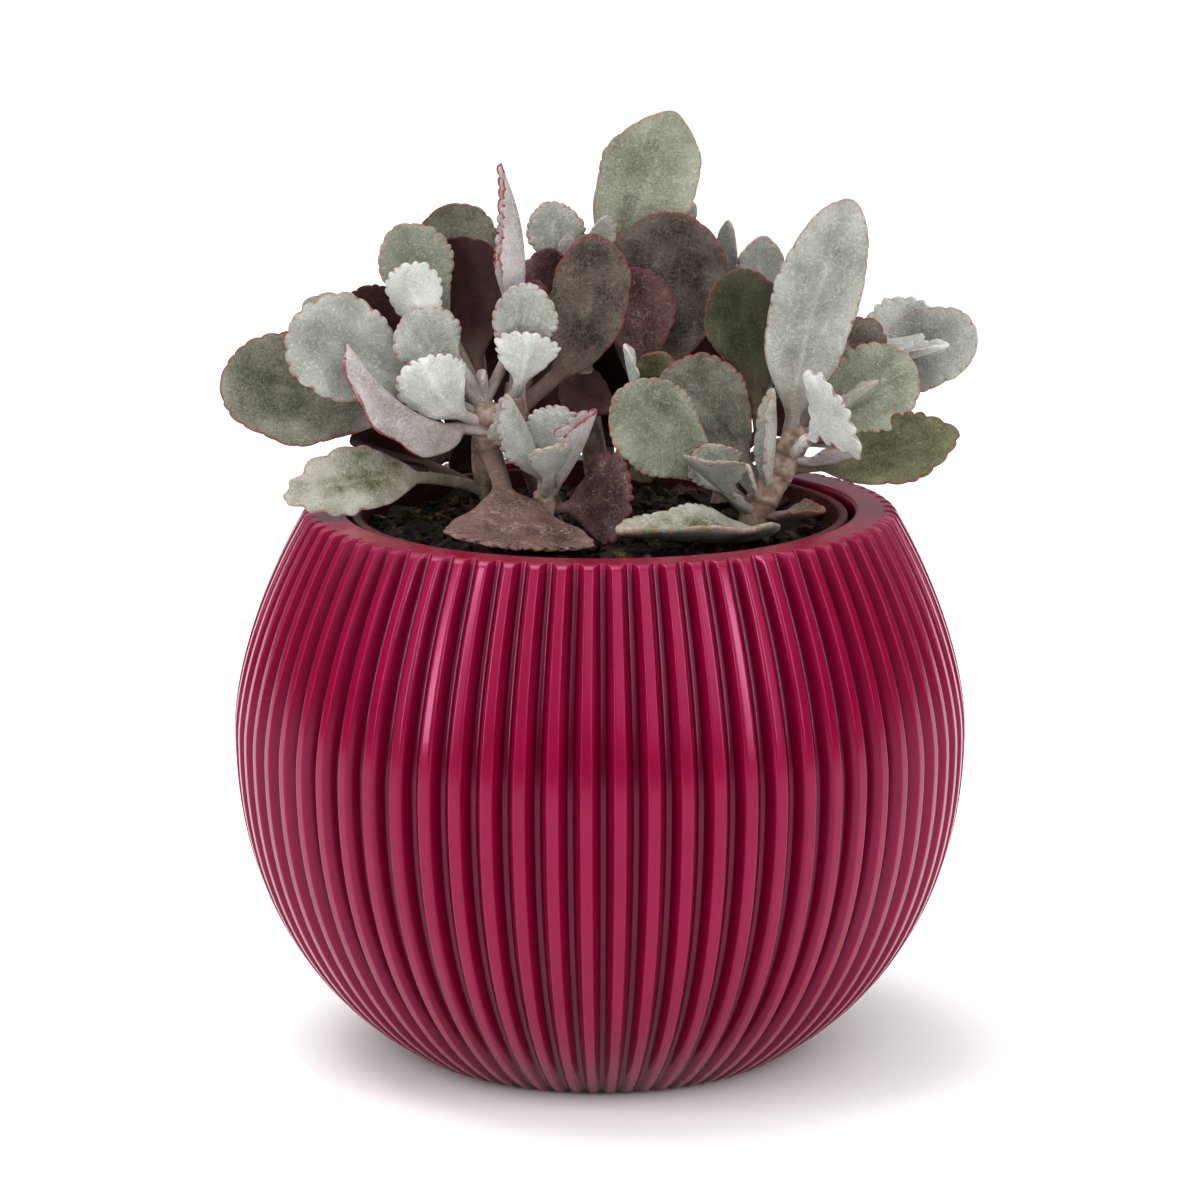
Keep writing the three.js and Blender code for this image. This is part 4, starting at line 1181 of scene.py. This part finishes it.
@dataclass
class GrowingMix:
    """The growing mix: a rough bed of peat, bark chips, small grains and dry litter on it."""

    bottom: float = 6.6
    bottom_radius: float = 34.5
    edge_radius: float = 46.0
    level: float = 103.2
    crown: float = 1.5
    rings: int = 46
    sides: int = 180
    seed: int = 7
    lumps: tuple[tuple[float, float], ...] = ((16, 0.8), (8, 0.6), (4, 0.4), (2.2, 0.3))
    waves_per_lump: int = 5
    top_depth: float = 10
    full_turn: float = 6.283

    def bed(self) -> Skin:
        """The bed's closed skin: its sides, and a top that is higher in the middle."""
        random = np.random.default_rng(self.seed)
        angle = np.linspace(0, 2 * math.pi, self.sides, endpoint=False)
        share = np.linspace(1, 0, self.rings, endpoint=False)
        radius = np.concatenate([[0, self.bottom_radius], self.edge_radius * share])
        level = np.concatenate([[self.bottom] * 2, self.level + self.crown * (1 - share**2)])
        x = radius[:, None] * np.cos(angle)
        y = radius[:, None] * np.sin(angle)
        bumps = np.zeros_like(x)
        for size, height in self.lumps:
            for _ in range(self.waves_per_lump):
                way, start = random.uniform(0, 2 * math.pi, 2)
                swing = (x * math.cos(way) + y * math.sin(way)) * 2 * math.pi / size
                bumps += height * np.sin(swing + start) / 2.2
        bumps[:3] = 0
        z = level[:, None] + bumps
        points = np.stack([x, y, z], axis=-1)
        points = np.concatenate([points.reshape(-1, 3), [[0, 0, self.level + self.crown]]])
        order = np.arange(len(radius) * self.sides).reshape(len(radius), self.sides)
        order[0] = order[0, 0]
        order = np.vstack([order, np.full(self.sides, len(points) - 1)])
        return Skin(points, outward(points, grid_faces(order)), {})

    def tree(self, bits: Bits) -> GeometryTree:
        """A tree that strews bits over the bed's top, with the inputs Density, Seed and Tilt."""
        tree = GeometryTree(bits.name + "_tree")
        density = tree.ask("Density", "NodeSocketFloat")
        seed = tree.ask("Seed", "NodeSocketInt")
        tilt = tree.ask("Tilt", "NodeSocketFloat")
        place = tree.node("GeometryNodeInputPosition", {})
        height = tree.node("ShaderNodeSeparateXYZ", {0: place.outputs[0]}).outputs["Z"]
        inputs = {0: height, 1: (self.level - self.top_depth) * MM}
        below = tree.node("FunctionNodeCompare", inputs, operation="LESS_THAN")
        inputs = {"Geometry": tree.given.outputs["Geometry"], "Selection": below.outputs[0]}
        top = tree.node("GeometryNodeDeleteGeometry", inputs, domain="FACE")
        inputs = {"Mesh": top.outputs[0], "Density": density, "Seed": seed}
        spots = tree.node("GeometryNodeDistributePointsOnFaces", inputs)
        if bits.smooth:
            block = tree.node("GeometryNodeMeshIcoSphere", {"Radius": 0.5 * MM, "Subdivisions": 1})
        else:
            inputs = {"Size": (0.8 * MM,) * 3, "Vertices X": 4, "Vertices Y": 3, "Vertices Z": 2}
            block = tree.node("GeometryNodeMeshCube", inputs)
        clouds = tree.node("ShaderNodeTexNoise", {"Scale": 2600.0, "Detail": 1.0})
        inputs = {0: clouds.outputs["Color"], 1: (0.5, 0.5, 0.5)}
        centred = tree.node("ShaderNodeVectorMath", inputs, operation="SUBTRACT")
        inputs = {0: centred.outputs[0], "Scale": bits.rough * MM}
        push = tree.node("ShaderNodeVectorMath", inputs, operation="SCALE")
        inputs = {"Geometry": block.outputs[0], "Offset": push.outputs[0]}
        rough_block = tree.node("GeometryNodeSetPosition", inputs)
        inputs = {"Geometry": rough_block.outputs[0], "Scale": bits.size}
        bit = tree.node("GeometryNodeTransform", inputs)
        back = tree.times(tilt, -1.0)
        least = tree.node("ShaderNodeCombineXYZ", {"X": back, "Y": back})
        most = tree.node("ShaderNodeCombineXYZ", {"X": tilt, "Y": tilt, "Z": self.full_turn})
        inputs = {"Min": least.outputs[0], "Max": most.outputs[0], "Seed": seed}
        turn = tree.node("FunctionNodeRandomValue", inputs, data_type="FLOAT_VECTOR")
        inputs = {2: 0.5, 3: 1.3, "Seed": seed}
        scale = tree.node("FunctionNodeRandomValue", inputs, data_type="FLOAT")
        inputs = {
            "Points": spots.outputs["Points"],
            "Instance": bit.outputs[0],
            "Rotation": turn.outputs[0],
            "Scale": scale.outputs[1],
        }
        tree.finish(tree.node("GeometryNodeInstanceOnPoints", inputs).outputs[0], bits.smooth)
        return tree

    def strew(self, bits: Bits, bed: Skin) -> bpy.types.Object:
        """Makes one layer of bits on the bed."""
        piece = mesh_from(bits.name, [bed], [])
        values = {
            "Material": bits.finish.material(),
            "Density": bits.density,
            "Seed": bits.seed,
            "Tilt": bits.tilt,
        }
        self.tree(bits).apply(piece, values)
        return dress(piece, "soil")

    def build(self) -> list[bpy.types.Object]:
        """Makes the bed and the layers on it."""
        peat = BarkMix("damp_peat", srgb(9, 7, 4), srgb(34, 26, 18), 1.6, 0.5)
        bark = BarkMix("bark_chip", srgb(22, 15, 8), srgb(84, 61, 37), 1.2, 0.25)
        crumb = BarkMix("peat_crumb", srgb(12, 9, 6), srgb(48, 37, 26), 0.8, 0.15)
        litter = BarkMix("dry_litter", srgb(66, 48, 31), srgb(122, 98, 70), 1.0, 0.15)
        layers = (
            Bits("bark_chips", (9, 5, 2.6), 20000, 3, 0.5, bark, 1.0, False),
            Bits("bark_splinters", (8, 2.4, 1.6), 30000, 8, 0.5, bark, 0.9, False),
            Bits("peat_crumbs", (2.4, 2.0, 1.6), 190000, 5, 0.6, crumb),
            Bits("dry_litter", (9, 0.7, 0.5), 14000, 12, 0.4, litter),
        )
        bed = self.bed()
        peat_bed = mesh_from("peat_bed", [bed], [peat.material()])
        pieces = [dress(peat_bed, "soil")]
        return pieces + [self.strew(bits, bed) for bits in layers]


def dress(piece: bpy.types.Object, node: str) -> bpy.types.Object:
    """Makes a finished piece ride on the frame in place of a CAD node.

    Args:
        piece: The piece, at the origin and with its materials.
        node: The CAD node that it replaces.

    Returns:
        The same piece.
    """
    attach(piece, "root")
    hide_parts(node)
    return piece


@dataclass
class Shoot:
    """A leafy shoot: its stems and its leaves, grown together in one piece."""

    name: str
    stems: tuple[Stem, ...]
    leaves: tuple[Leaf, ...]

    def build(self, leaf_coat: bpy.types.Material, bark: bpy.types.Material) -> bpy.types.Object:
        """Makes the shoot.

        Args:
            leaf_coat: The leaves' material.
            bark: The stems' material.

        Returns:
            The shoot as one object.
        """
        forms = []
        for number, stem in enumerate(self.stems):
            own = [leaf.root for leaf in self.leaves if leaf.stem == number]
            roots = [root for root in own if not isinstance(root, tuple)]
            forms.append(StemForm(stem, roots))
        skins = [form.skin() for form in forms]
        for number, leaf in enumerate(self.leaves):
            if isinstance(leaf.root, tuple):
                root = np.array(leaf.root, float)
            else:
                root = forms[leaf.stem].at_level(leaf.root)
            seed = sum(map(ord, self.name)) * 100 + number
            skins.append(LeafForm(leaf, root, seed).skin())
        piece = mesh_from(self.name + "_foliage", skins, [leaf_coat, bark])
        return dress(piece, self.name)


SHOOTS: tuple[Shoot, ...] = (
    Shoot(
        "shoot_left",
        (
            Stem(
                (
                    (-17, 10, 93), (-19, 7, 104), (-22.5, 0, 116), (-22.5, -2.5, 124),
                    (-22.3, -2, 131),
                ),
                (3, 2.2),
            ),
        ),
        (
            Leaf(
                127, (-74.6, 3, 133.8), (0, 0, -0.2), (-0.15, -0.9, 0.45), 23, 10, 0.22, Tone.GREY,
                blunt=0.58, pitch=4.0, light=1.08,
            ),
            Leaf(
                127.5, (-59.8, -5, 147), (-1, 0, -1), (0.1, -0.93, 0.35), 21, 8, 0.25, Tone.FROST,
                blunt=0.55, pitch=3.8, tooth=0.5,
            ),
            Leaf(129, (-58.5, 7, 148.5), (0, 2, 0), (0, -0.9, 0.4), 11, 10, 0.35, Tone.SAGE),
            Leaf(
                125, (-49.2, -9, 143.4), (-1.1, -3, -4.3), (0.7, 0.1, 0.7), 18.4, -72, 0.15,
                Tone.BLUSH, neck=1.9, widest=0.4, taper=0.7, tooth=0.2,
            ),
            Leaf(
                129, (-37.3, -3, 148.2), (-1, 0, 0), (0.1, -0.9, 0.4), 14, 10, 0.25, Tone.FROST,
                blunt=0.6,
            ),
            Leaf(
                126, (-33.8, -9, 140.2), (-1.5, -1.5, -2), (-0.3, 0.9, 0.2), 16, 24, 0.2, Tone.SNOW,
                blunt=0.5, tooth=0.5, pitch=2.2,
            ),
            Leaf(
                130, (-39.8, 6, 164), (-0.5, 2, 0), (0.1, -0.95, 0.25), 15, 10, 0.35, Tone.SAGE,
                widest=0.68,
            ),
            Leaf(
                130, (-39.3, -1, 156.6), (-0.5, 0, 0), (-0.1, 0.8, 0.3), 12.5, 28, 0.4, Tone.SNOW,
                widest=0.7, blunt=0.5, tooth=0.5, pitch=2.2, light=0.9,
            ),
            Leaf(
                129, (-28.5, 9, 161.2), (-0.5, 3, 0), (0, -0.98, 0.2), 20, 8, 0.2, Tone.MAROON,
                blunt=0.5, pitch=3.6, light=0.85,
            ),
            Leaf(
                131, (-19.5, -2, 177), (6, 1, 0), (-0.97, -0.25, 0), 12, 70, 0.33, Tone.BLUSH,
                widest=0.38, blunt=0.85,
            ),
            Leaf(
                128, (-30.8, 15, 166.8), (1, 6, 0), (0, -0.97, 0.25), 18, 8, 0.3, Tone.GREY,
                blunt=0.5, pitch=3.4,
            ),
            Leaf(
                126, (-49.5, 11, 149.4), (0, 4, 0), (0, -0.8, 0.6), 12.5, 10, 0.4, Tone.MAROON,
                blunt=0.5,
            ),
            Leaf(
                111, (-61.4, -14, 113.1), (2.5, -1, 4), (-0.1, -0.88, 0.47), 13.9, 6, 0.4,
                Tone.WORN, widest=0.54, pitch=4.2, tooth=0.8,
            ),
            Leaf(
                122, (-15, -39.5, 108.4), (1, 5, -2.2), (0.13, -0.2, 0.97), 29.5, -2, 0.22,
                Tone.MAUVE, neck=1.9, widest=0.86, taper=0.34, tooth=0.8, bare=0.78,
            ),
            Leaf(
                130.5, (-22.8, -4, 137), (0, 0, 0), (-0.9, -0.4, 0), 4, 30, 0.2, Tone.BLUSH,
                tooth=0.0,
            ),
            Leaf(124, (-41, 4, 135.5), (0, 2, 0), (0, -0.85, 0.5), 12, 10, 0.35, Tone.OLIVE),
            Leaf(110, (-49.5, 4, 121.5), (0, 2, 1), (0.2, -0.6, 0.75), 11, 35, 0.4, Tone.MAROON),
        ),
    ),
    Shoot(
        "shoot_middle",
        (
            Stem(
                ((-8, 12, 93), (-9, 10, 104), (-14, 5, 118), (-16.5, 0, 129), (-16.5, 1, 134)),
                (2.8, 2),
            ),
        ),
        (
            Leaf(
                129, (-2, 1, 163), (5, 1, -4), (0.1, -0.97, 0.2), 15.8, -5, 0.26, Tone.DUSK,
                neck=1.6, taper=0.5, blunt=0.6, pitch=3.4, tooth=0.25,
            ),
            Leaf(127, (-9.5, 6, 159.6), (0.5, 2, 0), (0, -0.95, 0.3), 12, 5, 0.35, Tone.PLUM),
            Leaf(128, (-12.4, 3.5, 153.6), (0, 0, 0), (0, -0.95, 0.3), 8.6, 5, 0.35, Tone.PLUM),
            Leaf(
                131, (-13, -6, 154.1), (-0.8, -1.5, 0), (0.1, -0.95, 0.3), 13, 15, 0.2, Tone.FROST,
                blunt=0.6, pitch=2.0,
            ),
            Leaf(
                131, (-13.4, -9, 144.9), (0, -2, -1), (0, 0.86, 0.5), 13.5, 20, 0.15, Tone.SNOW,
                widest=0.72, blunt=0.5, tooth=0.5, pitch=2.0,
            ),
            Leaf(
                122, (-20.5, 12.5, 146), (-0.8, 3, 0), (0, -0.95, 0.3), 11, 5, 0.08, Tone.MAROON,
                taper=0.4,
            ),
        ),
    ),
    Shoot(
        "shoot_front",
        (
            Stem(((-7, 0, 93), (-8.5, -4, 103), (-10.6, -11.5, 111), (-11, -13, 114.6)), (2.6, 2)),
        ),
        (
            Leaf(
                113, (-17.8, -16, 134.2), (1.5, 0, 0), (-0.95, -0.25, 0.1), 15.5, 62, 0.12,
                Tone.FROST, widest=0.6, blunt=0.5, pitch=2.2,
            ),
            Leaf(
                113, (-7.8, -12, 131.2), (0, 0, 0), (0, -0.97, 0.25), 11.5, 5, 0.3, Tone.FROST,
                blunt=0.6, tooth=0.45, pitch=1.6,
            ),
            Leaf(
                113, (-8.8, -22, 125), (0, 0, -1), (-0.36, 0.66, 0.49), 9.5, 15, 0.3, Tone.FROST,
                widest=0.75, tooth=0.4, pitch=1.8,
            ),
            Leaf(
                113, (-0.7, -16, 131.2), (0.8, 0, -1.5), (-0.75, -0.2, 0.6), 13, 62, 0.15,
                Tone.BLUSH, widest=0.55, pitch=3.0,
            ),
            Leaf(
                110, (6, -23, 116.2), (0, 0, 0), (-0.6, -0.7, 0.3), 18.2, -5, 0.2, Tone.PLUM,
                blunt=0.5, tooth=0.8, bare=0.5, light=0.75,
            ),
        ),
    ),
    Shoot(
        "shoot_tall",
        (
            Stem(((2, 14, 93), (0, 14, 110), (-3, 13, 130), (-5, 12, 151)), (3, 1.8)),
            Stem(((0.3, 14, 106), (5, 8, 118), (8, 5, 128)), (2.2, 1.8)),
        ),
        (
            Leaf(
                148, (-10.7, 12, 167.9), (0, 0, 0), (0, -0.95, 0.3), 12, 20, 0.2, Tone.FROST,
                pitch=1.8,
            ),
            Leaf(
                149, (-6.4, 11, 161.6), (0, 0, 0), (0.2, -0.9, 0.4), 6, 20, 0.2, Tone.FROST,
                pitch=1.6,
            ),
            Leaf(
                149, (1.5, 10, 165.4), (0, 0, 0), (0.5, -0.8, 0.2), 6.5, 20, 0.2, Tone.FROST,
                pitch=1.6,
            ),
            Leaf(
                140, (15, 17, 185.2), (0.7, 5, 0), (0, -0.95, 0.3), 20.4, 8, 0.25, Tone.SAGE,
                widest=0.56, light=1.2, pitch=4.0, tooth=0.25,
            ),
            Leaf(145, (19, 20, 166.5), (0, 2, 0), (0, -0.95, 0.3), 8, 8, 0.4, Tone.FROST),
            Leaf(
                124, (5.6, 8, 155.3), (2, 1, 0), (0.2, -0.95, 0.15), 14.4, 5, 0.25, Tone.PLUM,
                stem=1, pitch=3.0,
            ),
            Leaf(
                126, (17.3, 15, 164.8), (-1, 3, 0), (0, -0.9, 0.4), 25.5, 5, 0.12, Tone.DUSK,
                stem=1, taper=0.5, blunt=0.56, light=0.75, pitch=3.6, tooth=0.25,
            ),
            Leaf(127, (4.7, -2, 141.7), (0, 0, 0), (0.8, -0.2, 0.5), 5, 45, 0.1, Tone.SNOW, stem=1),
            Leaf(125, (-8, 8, 132), (0, 0, 0), (0, -0.5, 0.85), 14, 5, 0.2, Tone.MAROON, stem=1),
            Leaf(127, (13, 3, 139.2), (0, 0, 0), (0, -0.95, 0.3), 8.5, 5, 0.2, Tone.OLIVE, stem=1),
            Leaf(112, (12.6, 3, 118), (0, 0, 0), (0, -0.9, 0.4), 7, 5, 0.2, Tone.OLIVE, stem=1),
        ),
    ),
    Shoot(
        "shoot_right",
        (
            Stem(
                ((29, -3, 93), (30, -5, 103), (31, -7, 110), (35, -5.5, 117), (39.5, -4.5, 126)),
                (3.4, 2.7),
            ),
        ),
        (
            # light=0.4 darkens this leaf as painted shade, for the shadow it lies in.
            Leaf(
                112, (26.7, 6, 155.4), (1, 2, 0), (0, -0.98, 0.2), 16, 5, 0.35, Tone.OLIVE,
                blunt=0.55, light=0.4, tooth=0.25,
            ),
            Leaf(
                121, (49, -4, 170.2), (-2.3, 0, 0), (-0.15, -0.95, 0.2), 17.6, 8, 0.12, Tone.FROST,
                neck=1.5, widest=0.53, blunt=0.58, pitch=3.2, tooth=0.25,
            ),
            Leaf(
                112, (12, -4, 136), (2, 1, 1), (0.1, -0.9, 0.4), 20, 5, 0.2, Tone.GREY, blunt=0.6,
                pitch=2.4, light=0.85,
            ),
            Leaf(
                108, (3, -14, 134), (0, 0, 0), (-0.1, -0.85, 0.5), 18, 5, 0.25, Tone.SAGE,
                blunt=0.6, pitch=2.4, light=0.95,
            ),
            Leaf(
                109, (19.8, -20, 122), (0, 0, -1.5), (0.35, 0.5, 0.78), 15.5, 12, 0.2, Tone.FROST,
                widest=0.85, light=0.85, pitch=1.8,
            ),
            Leaf(
                109, (21, -11, 123.5), (-2, 0, 0), (0, -0.9, 0.45), 11, 10, 0.25, Tone.FROST,
                blunt=0.6, pitch=1.8,
            ),
            Leaf(110, (28.5, -11, 119.5), (0, 0, 0), (-0.8, -0.6, 0), 6, 30, 0.15, Tone.FROST),
            Leaf(
                112, (33.5, -9, 134.2), (1, -1, 0), (-0.9, -0.4, 0), 8, 60, 0.05, Tone.FROST,
                widest=0.5, blunt=0.5, light=1.05,
            ),
            Leaf(
                119, (47, -17, 132.3), (0, 0, 0), (0.74, 0.67, 0.1), 21, -8, 0.1, Tone.SNOW,
                widest=0.85, tooth=1.0, bare=0.2, pitch=3.0, light=0.85,
            ),
            Leaf(120, (49.6, -14, 123.4), (0, 0, -1.8), (0, 0.5, 0.85), 7, 10, 0.2, Tone.BLUSH),
            Leaf(
                119.5, (61, -1, 138.6), (0, 1, 0), (0, -0.95, 0.3), 17.5, 6, 0.2, Tone.SAGE,
                blunt=0.6, tooth=0.4, pitch=2.8, light=1.1,
            ),
            Leaf(123, (54.3, -7, 135.3), (0, 0, 0), (-0.73, 0, 0.68), 5, 50, 0.1, Tone.FROST),
            Leaf(122, (54.6, 8, 144.8), (0, 2, 0), (0, -0.9, 0.4), 13, 5, 0.25, Tone.DUSK),
            Leaf(
                122, (48, 4, 141.5), (0, 0, 0), (0, -0.95, 0.3), 10, 5, 0.25, Tone.GREY, blunt=0.6,
                light=1.2,
            ),
            Leaf(
                117.5, (70, -7, 125.2), (0, 0, -1.3), (0, -0.85, 0.5), 14.4, 5, 0.2, Tone.OLIVE,
                widest=0.54, pitch=3.4, tooth=0.5,
            ),
            Leaf(
                106.5, (3, -31, 110.3), (9, -3, -1.5), (0, -0.1, 1), 18, 26, 0.12, Tone.WORN,
                widest=0.5, blunt=0.5, edge=0.85, light=1.1,
            ),
            Leaf(109.5, (43.6, -16, 111.4), (0, 0, -1.5), (0, -0.3, 0.95), 7, 45, 0.1, Tone.DUSK),
        ),
    ),
    Shoot(
        "shoot_back_right",
        (
            Stem(((22, 20, 93), (25, 22, 106), (29, 26, 126), (31, 24, 134)), (2.8, 2)),
        ),
        (
            Leaf(130, (25.6, 22, 163), (-1.5, 0, 0), (-0.5, -0.8, 0.3), 5.4, 10, 0.4, Tone.FROST),
            Leaf(
                132, (32.5, 15, 160.8), (0, 0, 0), (0, -0.95, 0.3), 11, 20, 0.3, Tone.FROST,
                light=1.08,
            ),
            Leaf(
                128, (66.3, 11, 146), (0, 0, 0), (0, -0.9, 0.4), 12, 15, 0.5, Tone.SNOW, tooth=0.6,
                light=0.95,
            ),
            Leaf(
                126, (74.1, 5, 143), (0, 0, -1.2), (0, -0.9, 0.4), 16.6, 8, 0.45, Tone.FROST,
                blunt=0.45, light=1.05, pitch=2.4,
            ),
            Leaf(
                (55, 13.5, 134.8), (68.4, 1, 141), (0, 0, 0), (-0.64, 0, 0.77), 5, 50, 0.1,
                Tone.SNOW, light=0.9,
            ),
            Leaf(124, (60, 44, 127), (0, 0, 4), (0.3, 0.2, 0.9), 20, 8, 0.25, Tone.SAGE),
            Leaf(125, (44, 60, 130), (0, 0, 4), (0.1, 0.3, 0.95), 20, 8, 0.25, Tone.OLIVE),
            Leaf(128, (40, 38, 146), (0, 0, 2), (0.2, 0.8, 0.5), 15, 8, 0.25, Tone.DUSK),
            Leaf(112, (50, 36, 114), (0, 0, 3), (0.2, 0.1, 0.95), 15, 8, 0.3, Tone.GREY),
            Leaf(
                113, (13, 15, 127), (0, 3, 2), (0.2, -0.8, 0.6), 19, 6, 0.2, Tone.MAROON, blunt=0.5,
            ),
            Leaf(
                114, (46, 24, 126), (0, 2, 2), (0, -0.8, 0.6), 16, 6, 0.25, Tone.MAROON, blunt=0.5,
            ),
            Leaf(114, (30, 62, 121), (0, 0, 3), (0, 0.4, 0.9), 18, 8, 0.3, Tone.SAGE),
            Leaf(
                118, (20, 21, 143), (0, 1, 0), (0, -0.95, 0.3), 15, 6, 0.2, Tone.MAROON, blunt=0.5,
            ),
        ),
    ),
    Shoot(
        "shoot_back_left",
        (
            Stem(((-18, 22, 93), (-20, 25, 106), (-24, 29, 123)), (2.8, 2)),
        ),
        (
            Leaf(120, (-58, 47, 127), (0, 0, 4), (-0.3, 0.3, 0.9), 22, 8, 0.25, Tone.SAGE),
            Leaf(121, (-40, 62, 131), (0, 0, 4), (-0.1, 0.4, 0.9), 20, 8, 0.25, Tone.FROST),
            Leaf(121, (-29, 40, 150), (0, 1, 0), (-0.1, 0.9, 0.3), 16, 8, 0.25, Tone.OLIVE),
            Leaf(110, (-45, 36, 112), (0, 0, 3), (0, -0.6, 0.8), 15, 8, 0.3, Tone.DUSK),
            Leaf(
                112, (-46, 20, 117), (0, 0, 3), (0, -0.8, 0.6), 18, 6, 0.2, Tone.MAROON, blunt=0.5,
            ),
            Leaf(
                118, (-7.5, 18, 136), (0, 2.5, 1), (-0.1, -0.85, 0.5), 23, 6, 0.2, Tone.MAROON,
                blunt=0.5, taper=0.4,
            ),
            Leaf(114, (-18, 60, 118), (0, 0, 3), (0, 0.4, 0.9), 18, 8, 0.3, Tone.GREY),
            Leaf(120, (-46, 38, 140), (0, 0, 2), (-0.4, 0.6, 0.6), 14, 8, 0.3, Tone.SAGE),
            Leaf(
                108, (-31, 14, 126), (0, 2, 1), (0, -0.8, 0.6), 18, 6, 0.2, Tone.MAROON, blunt=0.5,
                taper=0.4,
            ),
        ),
    ),
    Shoot(
        "shoot_back",
        (
            Stem(((2, 28, 93), (1, 31, 108), (0, 33, 127)), (2.8, 2)),
        ),
        (
            Leaf(123, (-8, 66, 129), (0, 0, 4), (0, 0.4, 0.9), 20, 8, 0.25, Tone.SAGE),
            Leaf(
                112, (3, 23, 140), (0, 1, 0), (0, -0.95, 0.3), 23, 6, 0.12, Tone.MAROON, blunt=0.5,
                taper=0.4,
            ),
            Leaf(125, (-11, 44, 147), (0, 1, 0), (-0.1, 0.9, 0.35), 15, 8, 0.25, Tone.DUSK),
            Leaf(125, (4, 46, 150), (0, 1, 0), (0.1, 0.9, 0.35), 14, 8, 0.25, Tone.SAGE),
            Leaf(116, (12, 62, 118), (0, 0, 3), (0.1, 0.3, 0.95), 16, 8, 0.3, Tone.OLIVE),
            Leaf(110, (-6, 58, 112), (0, 0, 3), (0, 0.3, 0.95), 15, 8, 0.3, Tone.GREY),
        ),
    ),
)


@dataclass
class Studio:
    """The photograph's camera, a pale floor and soft white light."""

    distance: float = 877.7
    eye_level: float = 278.9
    pitch: float = 0.2118
    focal_pixels: float = 4535.6
    image_pixels: float = 1200
    sensor: float = 36
    wall_light: float = 0.2
    ceiling_light: float = 1.15
    side_share: float = 0.3

    def camera(self) -> None:
        """Puts the camera where the photograph was taken."""
        data = bpy.data.cameras.new("camera")
        data.sensor_width = self.sensor
        data.lens = self.focal_pixels * self.sensor / self.image_pixels
        data.clip_start = 0.01
        camera = bpy.data.objects.new("camera", data)
        camera.location = (0, -self.distance * MM, self.eye_level * MM)
        camera.rotation_euler = (math.pi / 2 - self.pitch, 0, 0)
        bpy.context.collection.objects.link(camera)
        bpy.context.scene.camera = camera

    def floor(self) -> None:
        """Lays a wide white floor."""
        mesh = bpy.data.meshes.new("floor")
        mesh.from_pydata([(-6, -6, 0), (6, -6, 0), (6, 9, 0), (-6, 9, 0)], [], [(0, 1, 2, 3)])
        graph = Graph("white_floor")
        white = {"Base Color": (0.93, 0.93, 0.93), "Roughness": 1.0, "Specular IOR Level": 0.0}
        graph.set(graph.surface, white)
        mesh.materials.append(graph.material)
        floor = bpy.data.objects.new("floor", mesh)
        bpy.context.collection.objects.link(floor)

    def aim(self, lamp: bpy.types.Object, place: Triple) -> None:
        """Hangs a lamp at a place in metres, so that it looks at the plant."""
        lamp.location = place
        way = np.array([0, 0, 0.09]) - np.array(place)
        tilt = math.atan2(math.hypot(way[0], way[1]), -way[2])
        lamp.rotation_euler = (tilt, 0, math.atan2(way[1], way[0]) - math.pi / 2)
        bpy.context.collection.objects.link(lamp)

    def strip(self, name: str, place: Triple, size: tuple[float, float], power: float) -> None:
        """Hangs a tall soft box.

        Args:
            name: The lamp's name.
            place: Where it hangs, in metres.
            size: Its width and height, in metres.
            power: Its power, in watts.
        """
        data = bpy.data.lights.new(name, "AREA")
        data.shape = "RECTANGLE"
        data.size, data.size_y = size
        data.energy = power
        self.aim(bpy.data.objects.new(name, data), place)

    def sky(self, name: str, place: Triple, strength: float, spread: float) -> None:
        """Adds even light from one side, as wide as spread in degrees."""
        data = bpy.data.lights.new(name, "SUN")
        data.energy = strength
        data.angle = math.radians(spread)
        self.aim(bpy.data.objects.new(name, data), place)

    def room(self) -> None:
        """Makes a room with a bright ceiling and dim walls, dimmest at the two sides."""
        world = bpy.data.worlds.new("room")
        world.use_nodes = True
        graph = Nodes(world.node_tree)
        way = graph.node("ShaderNodeTexCoord", {}).outputs["Generated"]
        split = graph.node("ShaderNodeSeparateXYZ", {0: way}).outputs
        upward = graph.range(split["Z"], 0.05, 0.75, self.wall_light, self.ceiling_light)
        aside = graph.range(graph.maths("ABSOLUTE", split["X"]), 0.5, 0.95, 1.0, self.side_share)
        strength = graph.times(upward, aside)
        graph.set(graph.tree.nodes["Background"], {"Color": (1, 1, 1), "Strength": strength})
        bpy.context.scene.world = world

    def light(self) -> None:
        """Lights the scene with the room, even light from above and two tall soft boxes."""
        self.room()
        self.sky("ceiling", (-0.25, 0.1, 1.0), 1.85, 40)
        self.sky("front_fill", (0.35, -0.8, 0.75), 0.68, 50)
        self.strip("left_strip", (-1.05, -0.75, 0.75), (0.1, 1.1), 9)
        self.strip("right_strip", (1.0, -0.85, 0.7), (0.08, 1.0), 6.5)
        view = bpy.context.scene.view_settings
        view.view_transform = "Standard"
        view.look = "None"

    def build(self) -> None:
        """Sets up the camera, the floor and the light."""
        self.camera()
        self.floor()
        self.light()


def main() -> None:
    """Loads the frame and builds every piece on it."""
    logging.basicConfig(level=logging.INFO, format="%(message)s")
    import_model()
    Studio().build()
    for maker in (Planter(), NurseryPot(), GrowingMix()):
        for piece in maker.build():
            LOG.info("%s: %d faces", piece.name, len(piece.data.polygons))
    leaf_coat = PowderedLeaf().material()
    bark = WoodyStem().material()
    for shoot in SHOOTS:
        piece = shoot.build(leaf_coat, bark)
        LOG.info("%s: %d faces", piece.name, len(piece.data.polygons))


if __name__ == "__main__":
    main()
